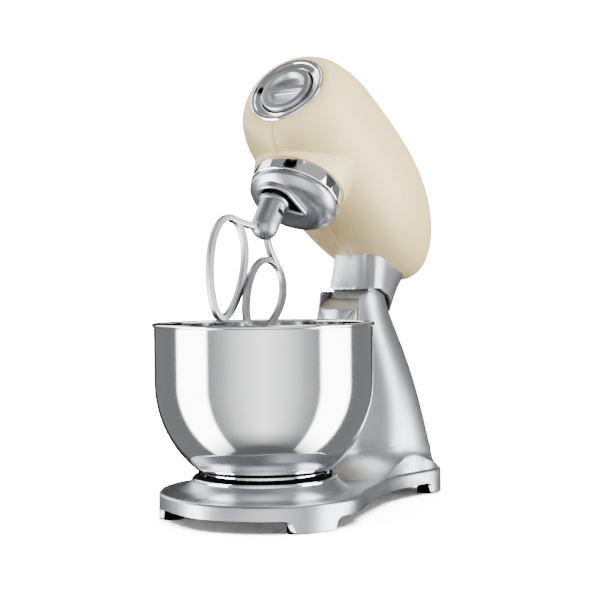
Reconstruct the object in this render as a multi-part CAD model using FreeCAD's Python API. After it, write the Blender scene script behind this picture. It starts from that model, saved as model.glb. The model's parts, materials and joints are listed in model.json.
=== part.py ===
"""Tilt-head stand mixer, drawn with its head raised.

Axes: +X is the way the nose points, +Y the mixer's left side, +Z up.
Everything is laid out from the bowl's axis at X = 0, Y = 0, with the counter at Z = 0.
Head pieces are drawn with the head lowered and then turned about the hinge.
The finished model is moved along X so that its box is centred on the origin.
"""
import FreeCAD, Part
import math
import os

V = FreeCAD.Vector
UP = V(0, 0, 1)
FORWARD = V(1, 0, 0)
LEFT = V(0, 1, 0)

# General clearances and walls
FIT = 0.02             # radial room of a seated shaft, pin or bearing
RUN_FIT = 0.05         # radial room of a running shaft
BODY_GAP = 0.4         # room between bodies that pass each other
SEAM = 0.3             # visible joint line between the two head shells
CAST_WALL = 4.0        # wall of the base casting
SHELL_WALL = 3.0       # wall of the moulded shells

# Bowl
BOWL_RIM_R = 110.5
BOWL_ROLL_R = 2.0      # rolled edge, radius of its round section
BOWL_RIM_Z = 191.3     # middle of the rolled edge
BOWL_SHEET = 1.5
BOWL_BEND_Z = 135.0    # the straight wall starts to curve in here
BOWL_BEND_R = 112.0    # radius of that curve
BOWL_FLOOR_Z = 47.0    # underside of the flat bottom
FOOT_R = 62.0          # neck of the bowl's foot
FOOT_FLANGE_R = 65.0   # bayonet flange of the foot
FOOT_FLANGE_T = 2.8
FOOT_WALL = 5.0
BAYONET_COUNT = 4
BAYONET_LUG_DEG = 24.0
BAYONET_NOTCH_DEG = 34.0
BAYONET_TURN_DEG = 35.0

# Base casting, plan outline of the left half from nose to tail
BASE_OUTLINE = [(103.3, 0), (94.5, 39.2), (70, 78), (30.2, 101.1), (-8.7, 104.3), (-39.5, 93.3),
                (-74.8, 85.6), (-119.8, 77.3), (-165.1, 78.7), (-200.1, 85), (-227.1, 81.7),
                (-241.9, 50.2), (-246.3, 0)]
BASE_SKIRT_Z = 13.0    # lower edge between the feet
BASE_EDGE_Z = 27.5     # upper edge of the skirt
BASE_EDGE_ROUND = 3.0
FOOT_WALL_Z = 1.2      # the cast foot walls end just above the counter
FRONT_FOOT_X = (30.5, 68.5)
REAR_FOOT_X = (-260.0, -200.0)
FOOT_SIDE_Y = 58.0     # foot walls stand outside this
FOOT_END = [(-3.0, 1.2), (-1.0, 1.7), (0.0, 3.4), (1.4, 8.0), (3.0, 11.0), (5.4, 12.5), (8.5, 13.0)]
PAD_R = 14.6           # rubber pads inside the foot walls
PAD_PLACES = [(54.0, 78.0), (-212.0, 76.0)]
OUTLINE_STEPS = 48     # points taken from the outline when it is set in
OUTLINE_CUTS = 8       # the outline is drawn in this many edges
SEAT_Z = 38.5          # top of the pedestal under the seat ring
SEAT_RING_R = 72.0
SEAT_RING_BORE = 48.0
SEAT_FLOOR_T = 1.6
SEAT_LIP_T = 3.4
SEAT_SCREW_R = 54.0
PEDESTAL_R = 96.0
PEDESTAL_HOLLOW = 2.8  # how far the flare sinks below a straight cone
COVER_T = 2.4
COVER_Z = 14.0
COVER_SCREWS = [(58, 40), (-30, 84), (-229, 40)]
SCREW_SHANK_R = 2.0
SCREW_HEAD_R = 3.6
SCREW_HEAD_T = 1.6
SCREW_LENGTH = 8.0
BOSS_R = 5.0

# Column: height, front X, X of the widest place, rear X, half width there
COLUMN_SECTIONS = [(20.0, -92.0, -201.0, -240.0, 81.5), (44.0, -104.0, -198.0, -237.5, 78.0),
                   (80.0, -117.0, -192.0, -232.5, 71.9), (127.0, -127.5, -188.0, -225.0, 60.8),
                   (200.0, -136.5, -176.0, -207.5, 38.2), (228.0, -138.5, -171.0, -203.0, 33.0)]
FLARE_LEVELS = (26.5, 27.4, 29.0, 32.0, 37.0, 45.0, 56.0)   # heights of the column's flared foot
FLARE_INSET = 3.6      # the flare starts this far inside the base's outline
FLARE_REAR = 11.0      # height of the flare at the rear and sides
FLARE_FRONT = 34.0     # height of the flare at the front
COLUMN_FRONT_POWER = 2.0   # squareness of the front half of the column's section
COLUMN_REAR_POWER = 3.0
COLUMN_HOLLOW_Z = 128.0

# Hinge
HINGE_X = -169.0
HINGE_Z = 183.5
TILT_DEG = 35.4        # travel from lowered to raised
EAR_R = 38.5           # round top of the column's two ears
EAR_SLOT = 49.0        # free width between the ears
LIP_Z = 202.5          # top of the front lip between the ears
REAR_SLOT_Z = 188.0    # the gap is deeper behind the hinge
BARREL_R = 31.0        # hinge barrel of the head
HINGE_PIN_R = 6.0
HINGE_PIN_HALF = 34.5
BUSH_WALL = 2.5
ARM_X = (-181.0, -149.0)

# Release button and lock pin in the column
BUTTON_R = 11.0
BUTTON_Z = 116.0
BUTTON_PROUD = 5.5
BUTTON_TRAVEL = 4.0
BUTTON_DEPTH = 14.0
STEM_HALF_W = 2.5      # flat stem that draws the lock pin down
STEM_HALF_H = 8.0
STEM_PAST_PIN = 10.0
LOCK_PIN_R = 6.0
LOCK_PIN_LENGTH = 46.0
LOCK_PIN_ENTRY = 7.0   # depth of the hole it enters when the head is down
CROSS_PIN_R = 1.5

# Cord inlet at the tail of the base
GLAND_R = 5.2
GLAND_NECK_R = 3.8
GLAND_HOLE_R = 2.6
GLAND_Z = 20.5
GLAND_PROUD = 2.6
GLAND_SEAT = 1.0       # the collar of the gland is let into the casting

# Head, drawn lowered
NOSE_X = 73.0
NOSE_R = 43.0          # round mouth at the front
NOSE_Z = 312.4         # the nose, the front outlet and the drive shaft share this height
HEAD_TOP_Z = 381.9
HEAD_TOP_X = -52.6
HEAD_TOP_FALL = 5.26   # fall of the crown 100 mm away from its highest point
HEAD_FLOOR_Z = 247.0
HEAD_HALF_W = 75.2
HEAD_WIDE_X = -101.0
HEAD_WIDE_FALL = 4.6
HEAD_TAIL_X = -244.6
HEAD_TAIL_Z = 318.4
NOSE_ROUND_X = 15.3    # the nose rounds off ahead of this
TAIL_ROUND_X = -60.8   # the tail rounds off behind this
NOSE_POWER = 2.19
TAIL_POWER = 2.32
HEAD_POWER = 2.2       # squareness of the head's section
BOSS_Z = 246.0         # lower edge of the flare round the planetary
BOSS_FLARE = [(49.6, BOSS_Z), (50.6, 252.0), (53.4, 260.0), (58.0, 267.0), (65.0, 274.5)]
MOUTH_R = 46.5         # hole in the underside for the gear housing

# Neck collar under the head: height, front X, rear X, half width
COLLAR_SECTIONS = [(196.0, -147.0, -201.0, 33.5), (230.0, -136.5, -203.0, 32.0),
                   (262.0, -122.0, -208.5, 31.0), (285.0, -114.0, -217.0, 30.5)]
COLLAR_POWER = 3.2
COLLAR_ARCH_R = 41.0   # hollow of the lower edge, round the hinge
COLLAR_TAIL_LIFT = 5.0 # the arch is opened by this much behind the ears

# Planetary
ORBIT_R = 22.5
CARRIER_DEG = -9.0     # where the beater shaft stands at rest, from +X
BAND_R = 48.0
BAND_LOW_Z = 230.6
BAND_WALL = 3.4
DISH_R = 46.6
DISH_TOP_Z = 229.8
DISH_FLOOR_Z = 215.5
DISH_FLAT_R = 27.0
DISH_WALL = 4.0
TEAR_R = 19.0          # round end of the raised wall about the beater shaft
TEAR_TIP_R = 4.0
TEAR_TIP_REACH = 30.8
TEAR_TIP_DEG = 155.5   # from the carrier's own direction
TEAR_WALL = 2.8
TEAR_LOW_Z = 213.0
TEAR_RECESS = 3.0      # depth of the recess inside the wall, from the flat middle
CENTRE_SHAFT_R = 6.0
CENTRE_SHAFT_TOP = 302.0
GEAR_FLOOR_Z = 246.5   # underside of the gear housing

# Gears
RING_TEETH = 44
PLANET_TEETH = 14
PLANET_MODULE = 1.5
RING_OUTER_R = 44.3
RING_Z = (234.0, 246.5)
PLANET_Z = (234.6, 244.6)
BEVEL_PINION_TEETH = 14
CROWN_TEETH = 28
BEVEL_MODULE = 2.0
BEVEL_FACE = 0.74      # inner end of the bevel teeth as a share of the outer end
MOTOR_PINION_TEETH = 14
DRIVE_TEETH = 36
SPUR_MODULE = 1.0
SPUR_X = (-68.0, -58.0)
PRESSURE_DEG = 20.0
ADDENDUM = 0.8         # in modules
DEDENDUM = 1.15
BACKLASH = 0.24        # thinning of each tooth at the pitch circle

# Beater
BEATER_SHAFT_R = 6.0
BEATER_SHAFT_LOW = 177.0
BEATER_DEG = -11.4     # the beater's plane at rest, from +X
HUB_R = 14.0
HUB_TOP_Z = 207.5
HUB_BALL_Z = 177.0
HUB_FLANGE_R = 15.8
HUB_FLANGE_T = 4.0
HUB_BORE_FLOOR = 175.5
PIN_R = 2.0
PIN_Z = 197.0
PIN_HALF = 15.0
BEATER_PUSH = 4.0      # upward travel that frees the bayonet
SLOT_TURN_DEG = 35.0
RIBBON_W = 5.5         # across the beater's plane
RIBBON_T = 5.5         # in the beater's plane
LOOP_CENTRE = (26.0, 107.7)
LOOP_HALF = (23.0, 52.3)
LOOP_EGG = 0.177       # the loops are wider near the top
LOOP_LEAN_DEG = 13.8   # the loops' tops lean away from the hub
LOOP_PITCH_DEG = (4.7, 17.0)   # each loop is twisted out of the hub's plane
LOOP_PITCH_Z = 129.2
LOOP_STEPS = 40
ARM_POINTS = [(3, 172.5), (20, 164.6), (40, 157.0)]

# Front outlet
RING_R = 41.5
RING_BORE_R = 29.4
RING_PROUD = 2.6
COVER_R = 28.8
COVER_FACE_X = 76.5
COVER_BACK_X = 69.0
COVER_SPIGOT_R = 15.0
COVER_SPIGOT_X = 58.5
GRIP_HALF_W = 6.5
POCKET_R = 22.0
POCKET_DEPTH = 4.5
SOCKET_BORE_R = 15.4
SOCKET_BACK_X = 50.0
DRIVE_SHAFT_R = 6.0
DRIVE_HEAD_R = 9.0
DRIVE_HEAD_X = 46.0
DRIVE_TIP_X = 57.5
DRIVE_SQUARE = 8.0
DRIVE_SQUARE_DEPTH = 9.0

# Bearings
BEARING_R = 11.0
BEARING_T = 6.0
FRONT_BEARING_X = 38.0
REAR_BEARING_X = -53.0
LOW_BEARING_Z = 250.0
HIGH_BEARING_Z = 278.0

# Chassis in the head
PLATE_Z = (266.0, 271.0)
PLATE_X = (-174.0, 45.0)
PLATE_HALF_W = 21.0
TOWER_R = 16.0
TOWER_TOP = 286.0
PEDESTAL_T = 10.0
PEDESTAL_HALF_W = 15.0

# Motor
MOTOR_X = (-136.0, -86.0)
MOTOR_R = 29.0
MOTOR_BORE_R = 18.0
ARMATURE_R = 17.2
MOTOR_SHAFT_R = 4.0
MOTOR_SHAFT_X = (-166.0, -57.5)
END_FRAME_T = 5.0
FRONT_FRAME_X = -79.0
REAR_FRAME_X = -152.0
COMMUTATOR_R = 10.0
COMMUTATOR_X = (-146.5, -138.5)
BRUSH_W = 5.0
FAN_R = 21.0
FAN_X = (-164.0, -155.0)
FAN_BLADES = 9
SADDLE_X = (-126.0, -96.0)
SADDLE_T = 7.0

# Speed lever on the crown
TRIM_X = (-104.0, -12.0)
TRIM_HALF_W = 10.0
TRIM_TOP_Z = 383.6
TRIM_T = 5.0
LEVER_TRAVEL = 54.0
LEVER_STEM_HALF = 2.0
LEVER_STEM_LENGTH = 10.0
LEVER_OFF_X = -85.0
LEVER_KNOB = (17.0, 15.0, 9.5)

# Control board
BOARD = (60.0, 36.0, 1.6)
BOARD_X = -118.0
BOARD_Z = 276.0

HINGE = V(HINGE_X, 0, HINGE_Z)
ORBIT = V(ORBIT_R * math.cos(math.radians(CARRIER_DEG)),
          ORBIT_R * math.sin(math.radians(CARRIER_DEG)), 0)
MOTOR_Z = NOSE_Z + SPUR_MODULE * (MOTOR_PINION_TEETH + DRIVE_TEETH) / 2


def cylinder(radius, start, end, axis=UP, centre=V(0, 0, 0)):
    """Round bar along an axis between two distances from its centre point."""
    return Part.makeCylinder(radius, end - start, centre + axis * start, axis)


def tube(outer, inner, start, end, axis=UP, centre=V(0, 0, 0)):
    return cylinder(outer, start, end, axis, centre).cut(cylinder(inner, start, end, axis, centre))


def block(x, y, z):
    """Box from three (low, high) pairs."""
    return Part.makeBox(x[1] - x[0], y[1] - y[0], z[1] - z[0], V(x[0], y[0], z[0]))


def fuse(shapes):
    return shapes[0].multiFuse(shapes[1:]).removeSplitter()


def polygon(points):
    return Part.makePolygon(points + [points[0]])


def prism(points, direction):
    return Part.Face(polygon(points)).extrude(direction)


def spline(points, closed=False):
    curve = Part.BSplineCurve()
    curve.interpolate(Points=points, PeriodicFlag=closed)
    return curve.toShape()


def beside(curve, distance, normal, steps):
    """Points at a distance to the outside of a closed curve, counted from above."""
    points = []
    first = curve.FirstParameter
    span = curve.LastParameter - first
    for step in range(steps):
        place = first + span * step / steps
        points.append(curve.valueAt(place) + curve.tangentAt(place).cross(normal) * distance)
    return points


def revolve(edges, axis=UP, centre=V(0, 0, 0), degrees=360):
    return Part.Face(Part.Wire(edges)).revolve(centre, axis, degrees)


def lathe(profile, axis=UP, centre=V(0, 0, 0)):
    """Solid of revolution from (radius, height) corners along Z or X."""
    if axis == UP:
        points = [centre + V(r, 0, h) for r, h in profile]
    else:
        points = [centre + V(h, 0, r) for r, h in profile]
    return Part.Face(polygon(points)).revolve(centre, axis, 360)


def arc(first, middle, last):
    return Part.Arc(first, middle, last).toShape()


def line(first, last):
    return Part.LineSegment(first, last).toShape()


def turned(shape, degrees, axis=UP, centre=V(0, 0, 0)):
    copy = shape.copy()
    copy.rotate(centre, axis, degrees)
    return copy


def mirrored(shape):
    return shape.mirror(V(0, 0, 0), LEFT)


def both_sides(shape):
    return [shape, mirrored(shape)]


def raised(shape):
    """Turn a head piece from its lowered to its raised place."""
    return turned(shape, -TILT_DEG, LEFT, HINGE)


def superellipse(half_a, half_b, power, degrees):
    cosine = math.cos(math.radians(degrees))
    sine = math.sin(math.radians(degrees))
    return (half_a * math.copysign(abs(cosine) ** (2 / power), cosine),
            half_b * math.copysign(abs(sine) ** (2 / power), sine))


# Gear teeth

def involute(angle):
    return math.tan(angle) - angle


def half_tooth(pitch_r, teeth, radius, thinning):
    """Half of a tooth's angle at a radius, for an involute flank."""
    base_r = pitch_r * math.cos(math.radians(PRESSURE_DEG))
    angle = math.acos(min(1, base_r / radius))
    at_pitch = math.pi / (2 * teeth) - thinning / (2 * pitch_r)
    return at_pitch + involute(math.radians(PRESSURE_DEG)) - involute(angle)


def tooth_row(teeth, levels, phase):
    """Points round a gear from (radius, half angle) levels, root first."""
    points = []
    for tooth in range(teeth):
        middle = phase + 2 * math.pi * tooth / teeth
        flank = [(r, middle - half) for r, half in levels]
        flank += [(r, middle + half) for r, half in reversed(levels)]
        points += [V(r * math.cos(a), r * math.sin(a), 0) for r, a in flank]
    return points


def spur_outline(module, teeth, thinning, phase=0.0, inside=False):
    """Outline of a spur gear, or of the hole in a ring gear."""
    pitch_r = module * teeth / 2
    tip = pitch_r + module * (DEDENDUM if inside else ADDENDUM)
    root = pitch_r - module * (ADDENDUM if inside else DEDENDUM)
    low = max(root, pitch_r * math.cos(math.radians(PRESSURE_DEG)))
    heights = [low, (low + tip) / 2, tip]
    levels = [(r, half_tooth(pitch_r, teeth, r, thinning)) for r in heights]
    if low > root:
        levels.insert(0, (root, levels[0][1]))
    return tooth_row(teeth, levels, phase)


def spur_gear(module, teeth, thickness, phase=0.0):
    return prism(spur_outline(module, teeth, BACKLASH, phase), UP * thickness)


def bevel_gear(teeth, mate_teeth, phase=0.0):
    """Straight bevel teeth with their apex at the origin, opening along +Z."""
    pitch_r = BEVEL_MODULE * teeth / 2
    depth = BEVEL_MODULE * mate_teeth / 2
    cone = math.atan2(pitch_r, depth)
    back_r = pitch_r / math.cos(cone)
    back_teeth = teeth / math.cos(cone)
    levels = []
    for height in (-DEDENDUM, (ADDENDUM - DEDENDUM) / 2, ADDENDUM):
        rise = height * BEVEL_MODULE
        reach = max(back_r + rise, back_r * math.cos(math.radians(PRESSURE_DEG)))
        half = half_tooth(back_r, back_teeth, reach, BACKLASH)
        radius = pitch_r + rise * math.cos(cone)
        axial = depth - rise * math.sin(cone)
        levels.append((radius * depth / axial, half * (back_r + rise) / radius))
    outer = [p + UP * depth for p in tooth_row(teeth, levels, phase)]
    inner = [p * BEVEL_FACE for p in outer]
    count = len(outer)
    faces = [Part.Face(polygon(outer)), Part.Face(polygon(inner))]
    for i in range(count):
        j = (i + 1) % count
        faces.append(Part.Face(polygon([outer[i], outer[j], inner[j], inner[i]])))
    solid = Part.Solid(Part.makeShell(faces))
    if solid.Volume < 0:
        solid.reverse()
    return solid


# Base

def outline_wire(z, inset=0.0):
    half = [V(x, y, z) for x, y in BASE_OUTLINE]
    other = [V(p.x, -p.y, z) for p in reversed(half[1:-1])]
    points = beside(spline(half + other, closed=True), -inset, UP, OUTLINE_STEPS)
    curve = Part.BSplineCurve()
    curve.interpolate(Points=points, PeriodicFlag=True)
    step = (curve.LastParameter - curve.FirstParameter) / OUTLINE_CUTS
    cuts = [curve.FirstParameter + step * index for index in range(OUTLINE_CUTS + 1)]
    return Part.Wire([curve.toShape(start, end) for start, end in zip(cuts, cuts[1:])])


def base_outline(z, inset=0.0):
    return Part.Face(outline_wire(z, inset))


def base_skirt():
    """Upright wall with a rounded upper edge."""
    wires = [outline_wire(BASE_SKIRT_Z)]
    for angle in (0, 30, 60, 90):
        turn = math.radians(angle)
        rise = BASE_EDGE_ROUND * (1 - math.sin(turn))
        wires.append(outline_wire(BASE_EDGE_Z - rise, BASE_EDGE_ROUND * (1 - math.cos(turn))))
    return Part.makeLoft(wires, True, True)


def column_points(z, front, wide, rear, half_width, inset=0.0):
    points = []
    for step in range(24):
        ahead = abs(step - 12) > 6
        power = COLUMN_FRONT_POWER if ahead else COLUMN_REAR_POWER
        length = front - wide if ahead else wide - rear
        x, y = superellipse(length - inset, half_width - inset, power, step * 15)
        points.append(V(wide + x, y, z))
    return points


def column_section(*size, inset=0.0):
    return Part.Wire(spline(column_points(*size, inset=inset), closed=True))


def column_body():
    return Part.makeLoft([column_section(*s) for s in COLUMN_SECTIONS], True, False)


def column_size(z):
    """Section of the column at a height, between the stated ones."""
    for low, high in zip(COLUMN_SECTIONS, COLUMN_SECTIONS[1:]):
        if low[0] <= z <= high[0]:
            share = (z - low[0]) / (high[0] - low[0])
            return [a + share * (b - a) for a, b in zip(low, high)]


def flared_points(z):
    """Column section at a height, moved out by a flare that stands taller at the front."""
    points = column_points(*column_size(z))
    done = []
    for step, here in enumerate(points):
        ahead = min(1.0, max(0.0, math.cos(math.radians(step * 15)) + 0.4))
        height = FLARE_REAR + (FLARE_FRONT - FLARE_REAR) * ahead
        drop = max(0.0, 1 - (z - FLARE_LEVELS[0]) / height)
        reach = height * (1 - math.sqrt(1 - drop * drop))
        outward = (points[step - 1] - points[(step + 1) % 24]).cross(UP).normalize()
        done.append(here - outward * reach)
    return done


def column_flare():
    """Concave foot that carries the column out into the base."""
    wires = [Part.Wire(spline(flared_points(z), closed=True)) for z in FLARE_LEVELS]
    return Part.makeLoft(wires, True, False)


def column_hollow():
    wires = [column_section(*s, inset=CAST_WALL + 2) for s in COLUMN_SECTIONS[:4]]
    hollow = Part.makeLoft(wires, True, False)
    return hollow.common(block((-300, 100), (-150, 150), (0, COLUMN_HOLLOW_Z)))


def pedestal():
    low = V(PEDESTAL_R, 0, BASE_EDGE_Z - 1)
    high = V(SEAT_RING_R + 1, 0, SEAT_Z)
    middle = (low + high) * 0.5 - V(PEDESTAL_HOLLOW, 0, PEDESTAL_HOLLOW)
    foot = V(0, 0, low.z)
    top = V(0, 0, high.z)
    return revolve([line(foot, low), arc(low, middle, high), line(high, top), line(top, foot)])


def foot_zone(x_range):
    """Space that one side's foot wall may fill, rounded where it meets counter and skirt."""
    low, high = x_range
    ends = FOOT_END + [(FOOT_END[-1][0], COVER_Z)]
    corners = [V(low - x, FOOT_SIDE_Y, z) for x, z in reversed(ends)]
    corners += [V(high + x, FOOT_SIDE_Y, z) for x, z in ends]
    return prism(corners, LEFT * 60)


def foot_zones():
    return both_sides(foot_zone(FRONT_FOOT_X)) + both_sides(foot_zone(REAR_FOOT_X))


def foot_walls():
    height = UP * (COVER_Z - FOOT_WALL_Z)
    band = base_outline(FOOT_WALL_Z).extrude(height)
    band = band.cut(base_outline(FOOT_WALL_Z, CAST_WALL).extrude(height))
    return [band.common(zone) for zone in foot_zones()]


def cover_screw_places():
    return [V(x, side * y, 0) for x, y in COVER_SCREWS for side in (1, -1)]


def ear_slot():
    """Gap between the ears, with the round seat of the hinge barrel below it."""
    half = EAR_SLOT / 2
    return fuse([block((HINGE_X, -90), (-half, half), (LIP_Z, 260)),
                 block((-260, HINGE_X), (-half, half), (REAR_SLOT_Z, 260)),
                 cylinder(BARREL_R + 1, -half, half, LEFT, HINGE)])


def ear_trim():
    """What is taken off above the hinge to leave round ears."""
    above = block((-300, -60), (-100, 100), (HINGE_Z, 260))
    return above.cut(cylinder(EAR_R, -120, 120, LEFT, HINGE))


def button_rear_x():
    """Rear face of the column at the button's height."""
    return column_size(BUTTON_Z)[3]


def lock_pin_place():
    """Axis and lower end of the lock pin, under the hinge barrel."""
    return V(HINGE_X, 0, HINGE_Z - BARREL_R - BODY_GAP - LOCK_PIN_LENGTH)


def base_casting():
    inner_trim = base_outline(0, FLARE_INSET).extrude(UP * 60)
    foot_trim = block((-300, 100), (-150, 150), (BASE_EDGE_Z - 0.5, 300))
    column = column_body().common(foot_trim).cut(ear_trim())
    flare = column_flare().common(inner_trim)
    body = fuse([base_skirt(), pedestal(), flare, column] + foot_walls())
    hollow = base_outline(0, CAST_WALL).extrude(UP * (BASE_EDGE_Z - CAST_WALL))
    body = body.cut(hollow).cut(column_hollow())
    bosses = []
    for place in cover_screw_places():
        boss = cylinder(BOSS_R, COVER_Z + COVER_T, BASE_EDGE_Z - 1, UP, place)
        bosses.append(boss.cut(cylinder(SCREW_SHANK_R + FIT, 0, COVER_Z + SCREW_LENGTH, UP, place)))
    body = fuse([body] + bosses)
    seat_holes = [cylinder(SCREW_SHANK_R + FIT, 0, 60, UP, p) for p in seat_screw_places()]
    pin_hole = cylinder(HINGE_PIN_R + FIT, -HINGE_PIN_HALF, HINGE_PIN_HALF, LEFT, HINGE)
    rear = button_rear_x()
    button_hole = cylinder(BUTTON_R + BODY_GAP, -20, 40, FORWARD, V(rear, 0, BUTTON_Z))
    lock_hole = cylinder(LOCK_PIN_R + RUN_FIT, -20, 80, UP, lock_pin_place())
    gland_hole = cylinder(GLAND_NECK_R + FIT, -30, 12, FORWARD, gland_place())
    gland_seat = cylinder(GLAND_R + FIT, -30, GLAND_SEAT, FORWARD, gland_place())
    return body.cut(seat_holes + [ear_slot(), pin_hole, button_hole, lock_hole, gland_hole, gland_seat])


def base_cover():
    plate = base_outline(COVER_Z, CAST_WALL + BODY_GAP).extrude(UP * COVER_T)
    holes = [cylinder(SCREW_SHANK_R + FIT, 0, 30, UP, p) for p in cover_screw_places()]
    return plate.cut(holes)


def screw(place, axis):
    """Pan-head screw whose head sits on the plane through its place."""
    head = cylinder(SCREW_HEAD_R, -SCREW_HEAD_T, 0, axis, place)
    return head.fuse(cylinder(SCREW_SHANK_R, 0, SCREW_LENGTH - 1, axis, place)).removeSplitter()


def cover_screws():
    return Part.makeCompound([screw(p + UP * COVER_Z, UP) for p in cover_screw_places()])


def rubber_feet():
    plan = base_outline(0, CAST_WALL + BODY_GAP).extrude(UP * COVER_Z)
    pads = []
    for x, y in PAD_PLACES:
        pads += both_sides(cylinder(PAD_R, 0, COVER_Z, UP, V(x, y, 0)).common(plan))
    return Part.makeCompound([pad.Solids[0] for pad in pads])


def seat_screw_places():
    places = []
    for index in range(4):
        angle = math.radians(45 + 90 * index)
        places.append(V(SEAT_SCREW_R * math.cos(angle), SEAT_SCREW_R * math.sin(angle), 0))
    return places


def sector(inner, outer, low, high, middle_deg, span_deg):
    """Ring segment between two radii and two heights."""
    profile = [V(inner, 0, low), V(outer, 0, low), V(outer, 0, high), V(inner, 0, high)]
    piece = Part.Face(polygon(profile)).revolve(V(0, 0, 0), UP, span_deg)
    return turned(piece, middle_deg - span_deg / 2)


def seat_floor_z():
    return SEAT_Z + SEAT_FLOOR_T


def bowl_seat_ring():
    floor = seat_floor_z()
    lip = SEAT_Z + SEAT_LIP_T
    wall = FOOT_FLANGE_R + BODY_GAP
    ring = lathe([(SEAT_RING_BORE, SEAT_Z), (SEAT_RING_R, SEAT_Z), (SEAT_RING_R, lip - 1.2),
                  (SEAT_RING_R - 1.2, lip), (wall, lip), (wall, floor), (SEAT_RING_BORE, floor)])
    flange_top = floor + BODY_GAP + FOOT_FLANGE_T
    lugs = []
    for index in range(BAYONET_COUNT):
        middle = 45 + 360 / BAYONET_COUNT * index
        post = sector(wall, wall + 3, lip - 0.5, flange_top + 2.4, middle, BAYONET_LUG_DEG)
        hook = sector(FOOT_R + BODY_GAP, wall + 1, flange_top + BODY_GAP, flange_top + 2.4,
                      middle, BAYONET_LUG_DEG)
        lugs += [post, hook]
    ring = fuse([ring] + lugs)
    holes = [cylinder(SCREW_SHANK_R + FIT, 0, 60, UP, p) for p in seat_screw_places()]
    sinks = [cylinder(SCREW_HEAD_R + FIT, floor - 1, 60, UP, p) for p in seat_screw_places()]
    return ring.cut(holes + sinks)


def seat_screws():
    screws = []
    for place in seat_screw_places():
        head = cylinder(SCREW_HEAD_R, seat_floor_z() - 1, seat_floor_z(), UP, place)
        shank = cylinder(SCREW_SHANK_R, seat_floor_z() - SCREW_LENGTH, seat_floor_z() - 1, UP, place)
        screws.append(head.fuse(shank).removeSplitter())
    return Part.makeCompound(screws)


def hinge_pin():
    return cylinder(HINGE_PIN_R, -HINGE_PIN_HALF, HINGE_PIN_HALF, LEFT, HINGE)


def gland_place():
    """Where the gland's axis meets the tail of the base."""
    return V(BASE_OUTLINE[-1][0], 0, GLAND_Z)


def cord_gland():
    place = gland_place()
    collar = cylinder(GLAND_R, -GLAND_PROUD, GLAND_SEAT, FORWARD, place)
    neck = cylinder(GLAND_NECK_R, 0, 9, FORWARD, place)
    bore = cylinder(GLAND_HOLE_R, -20, 20, FORWARD, place)
    return collar.fuse(neck).cut(bore).removeSplitter()


def release_button():
    """Push button with a stem whose sloping slot draws the lock pin down."""
    rear = button_rear_x()
    centre = V(rear, 0, BUTTON_Z)
    cap = cylinder(BUTTON_R, -BUTTON_PROUD, BUTTON_DEPTH, FORWARD, centre)
    edge = [e for e in cap.Edges if e.BoundBox.XMax < rear - BUTTON_PROUD + 0.1]
    cap = cap.makeFillet(1.5, edge)
    stem = block((rear + BUTTON_DEPTH - 1, HINGE_X + STEM_PAST_PIN), (-STEM_HALF_W, STEM_HALF_W),
                 (BUTTON_Z - STEM_HALF_H, BUTTON_Z + STEM_HALF_H))
    half = CROSS_PIN_R + BODY_GAP
    start = V(HINGE_X, 0, BUTTON_Z)
    end = start - V(BUTTON_TRAVEL, 0, BUTTON_TRAVEL)
    ends = [cylinder(half, -10, 10, LEFT, place) for place in (start, end)]
    side = V(1, 0, -1).normalize() * half
    depth = LEFT * 10
    path = prism([start + side - depth, start - side - depth, end - side - depth, end + side - depth],
                 depth * 2)
    return fuse([cap, stem]).cut([path] + ends).removeSplitter()


def lock_pin():
    """Forked pin below the hinge barrel with a cross pin in the stem's slot."""
    place = lock_pin_place()
    pin = cylinder(LOCK_PIN_R, 0, LOCK_PIN_LENGTH, UP, place)
    pin = pin.makeChamfer(1.0, [e for e in pin.Edges if e.BoundBox.ZMin > place.z + LOCK_PIN_LENGTH - 0.1])
    half = STEM_HALF_W + BODY_GAP
    top = BUTTON_Z + STEM_HALF_H + BUTTON_TRAVEL + BODY_GAP
    fork = block((HINGE_X - 20, HINGE_X + 20), (-half, half), (0, top))
    cross = cylinder(CROSS_PIN_R, -LOCK_PIN_R + 1, LOCK_PIN_R - 1, LEFT, V(HINGE_X, 0, BUTTON_Z))
    return pin.cut(fork).fuse(cross).removeSplitter()


# Bowl

def bowl():
    wall = BOWL_RIM_R - BOWL_ROLL_R
    bend_x = wall - BOWL_BEND_R

    def side(inset, z):
        radius = BOWL_BEND_R - inset
        return bend_x + math.sqrt(radius ** 2 - (BOWL_BEND_Z - z) ** 2)

    floor = BOWL_FLOOR_Z
    inner_floor = floor + BOWL_SHEET
    middle = (floor + BOWL_BEND_Z) / 2
    out_low = V(side(0, floor), 0, floor)
    out_mid = V(side(0, middle), 0, middle)
    out_bend = V(wall, 0, BOWL_BEND_Z)
    out_top = V(wall, 0, BOWL_RIM_Z)
    in_top = V(wall - BOWL_SHEET, 0, BOWL_RIM_Z)
    in_bend = V(wall - BOWL_SHEET, 0, BOWL_BEND_Z)
    in_mid = V(side(BOWL_SHEET, middle), 0, middle)
    in_low = V(side(BOWL_SHEET, inner_floor), 0, inner_floor)
    centre_in = V(0, 0, inner_floor)
    centre_out = V(0, 0, floor)
    shell = revolve([line(centre_out, out_low), arc(out_low, out_mid, out_bend),
                     line(out_bend, out_top), line(out_top, in_top), line(in_top, in_bend),
                     arc(in_bend, in_mid, in_low), line(in_low, centre_in),
                     line(centre_in, centre_out)])
    roll = Part.makeTorus(wall, BOWL_ROLL_R, V(0, 0, BOWL_RIM_Z))
    return shell.fuse(roll).removeSplitter()


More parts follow.
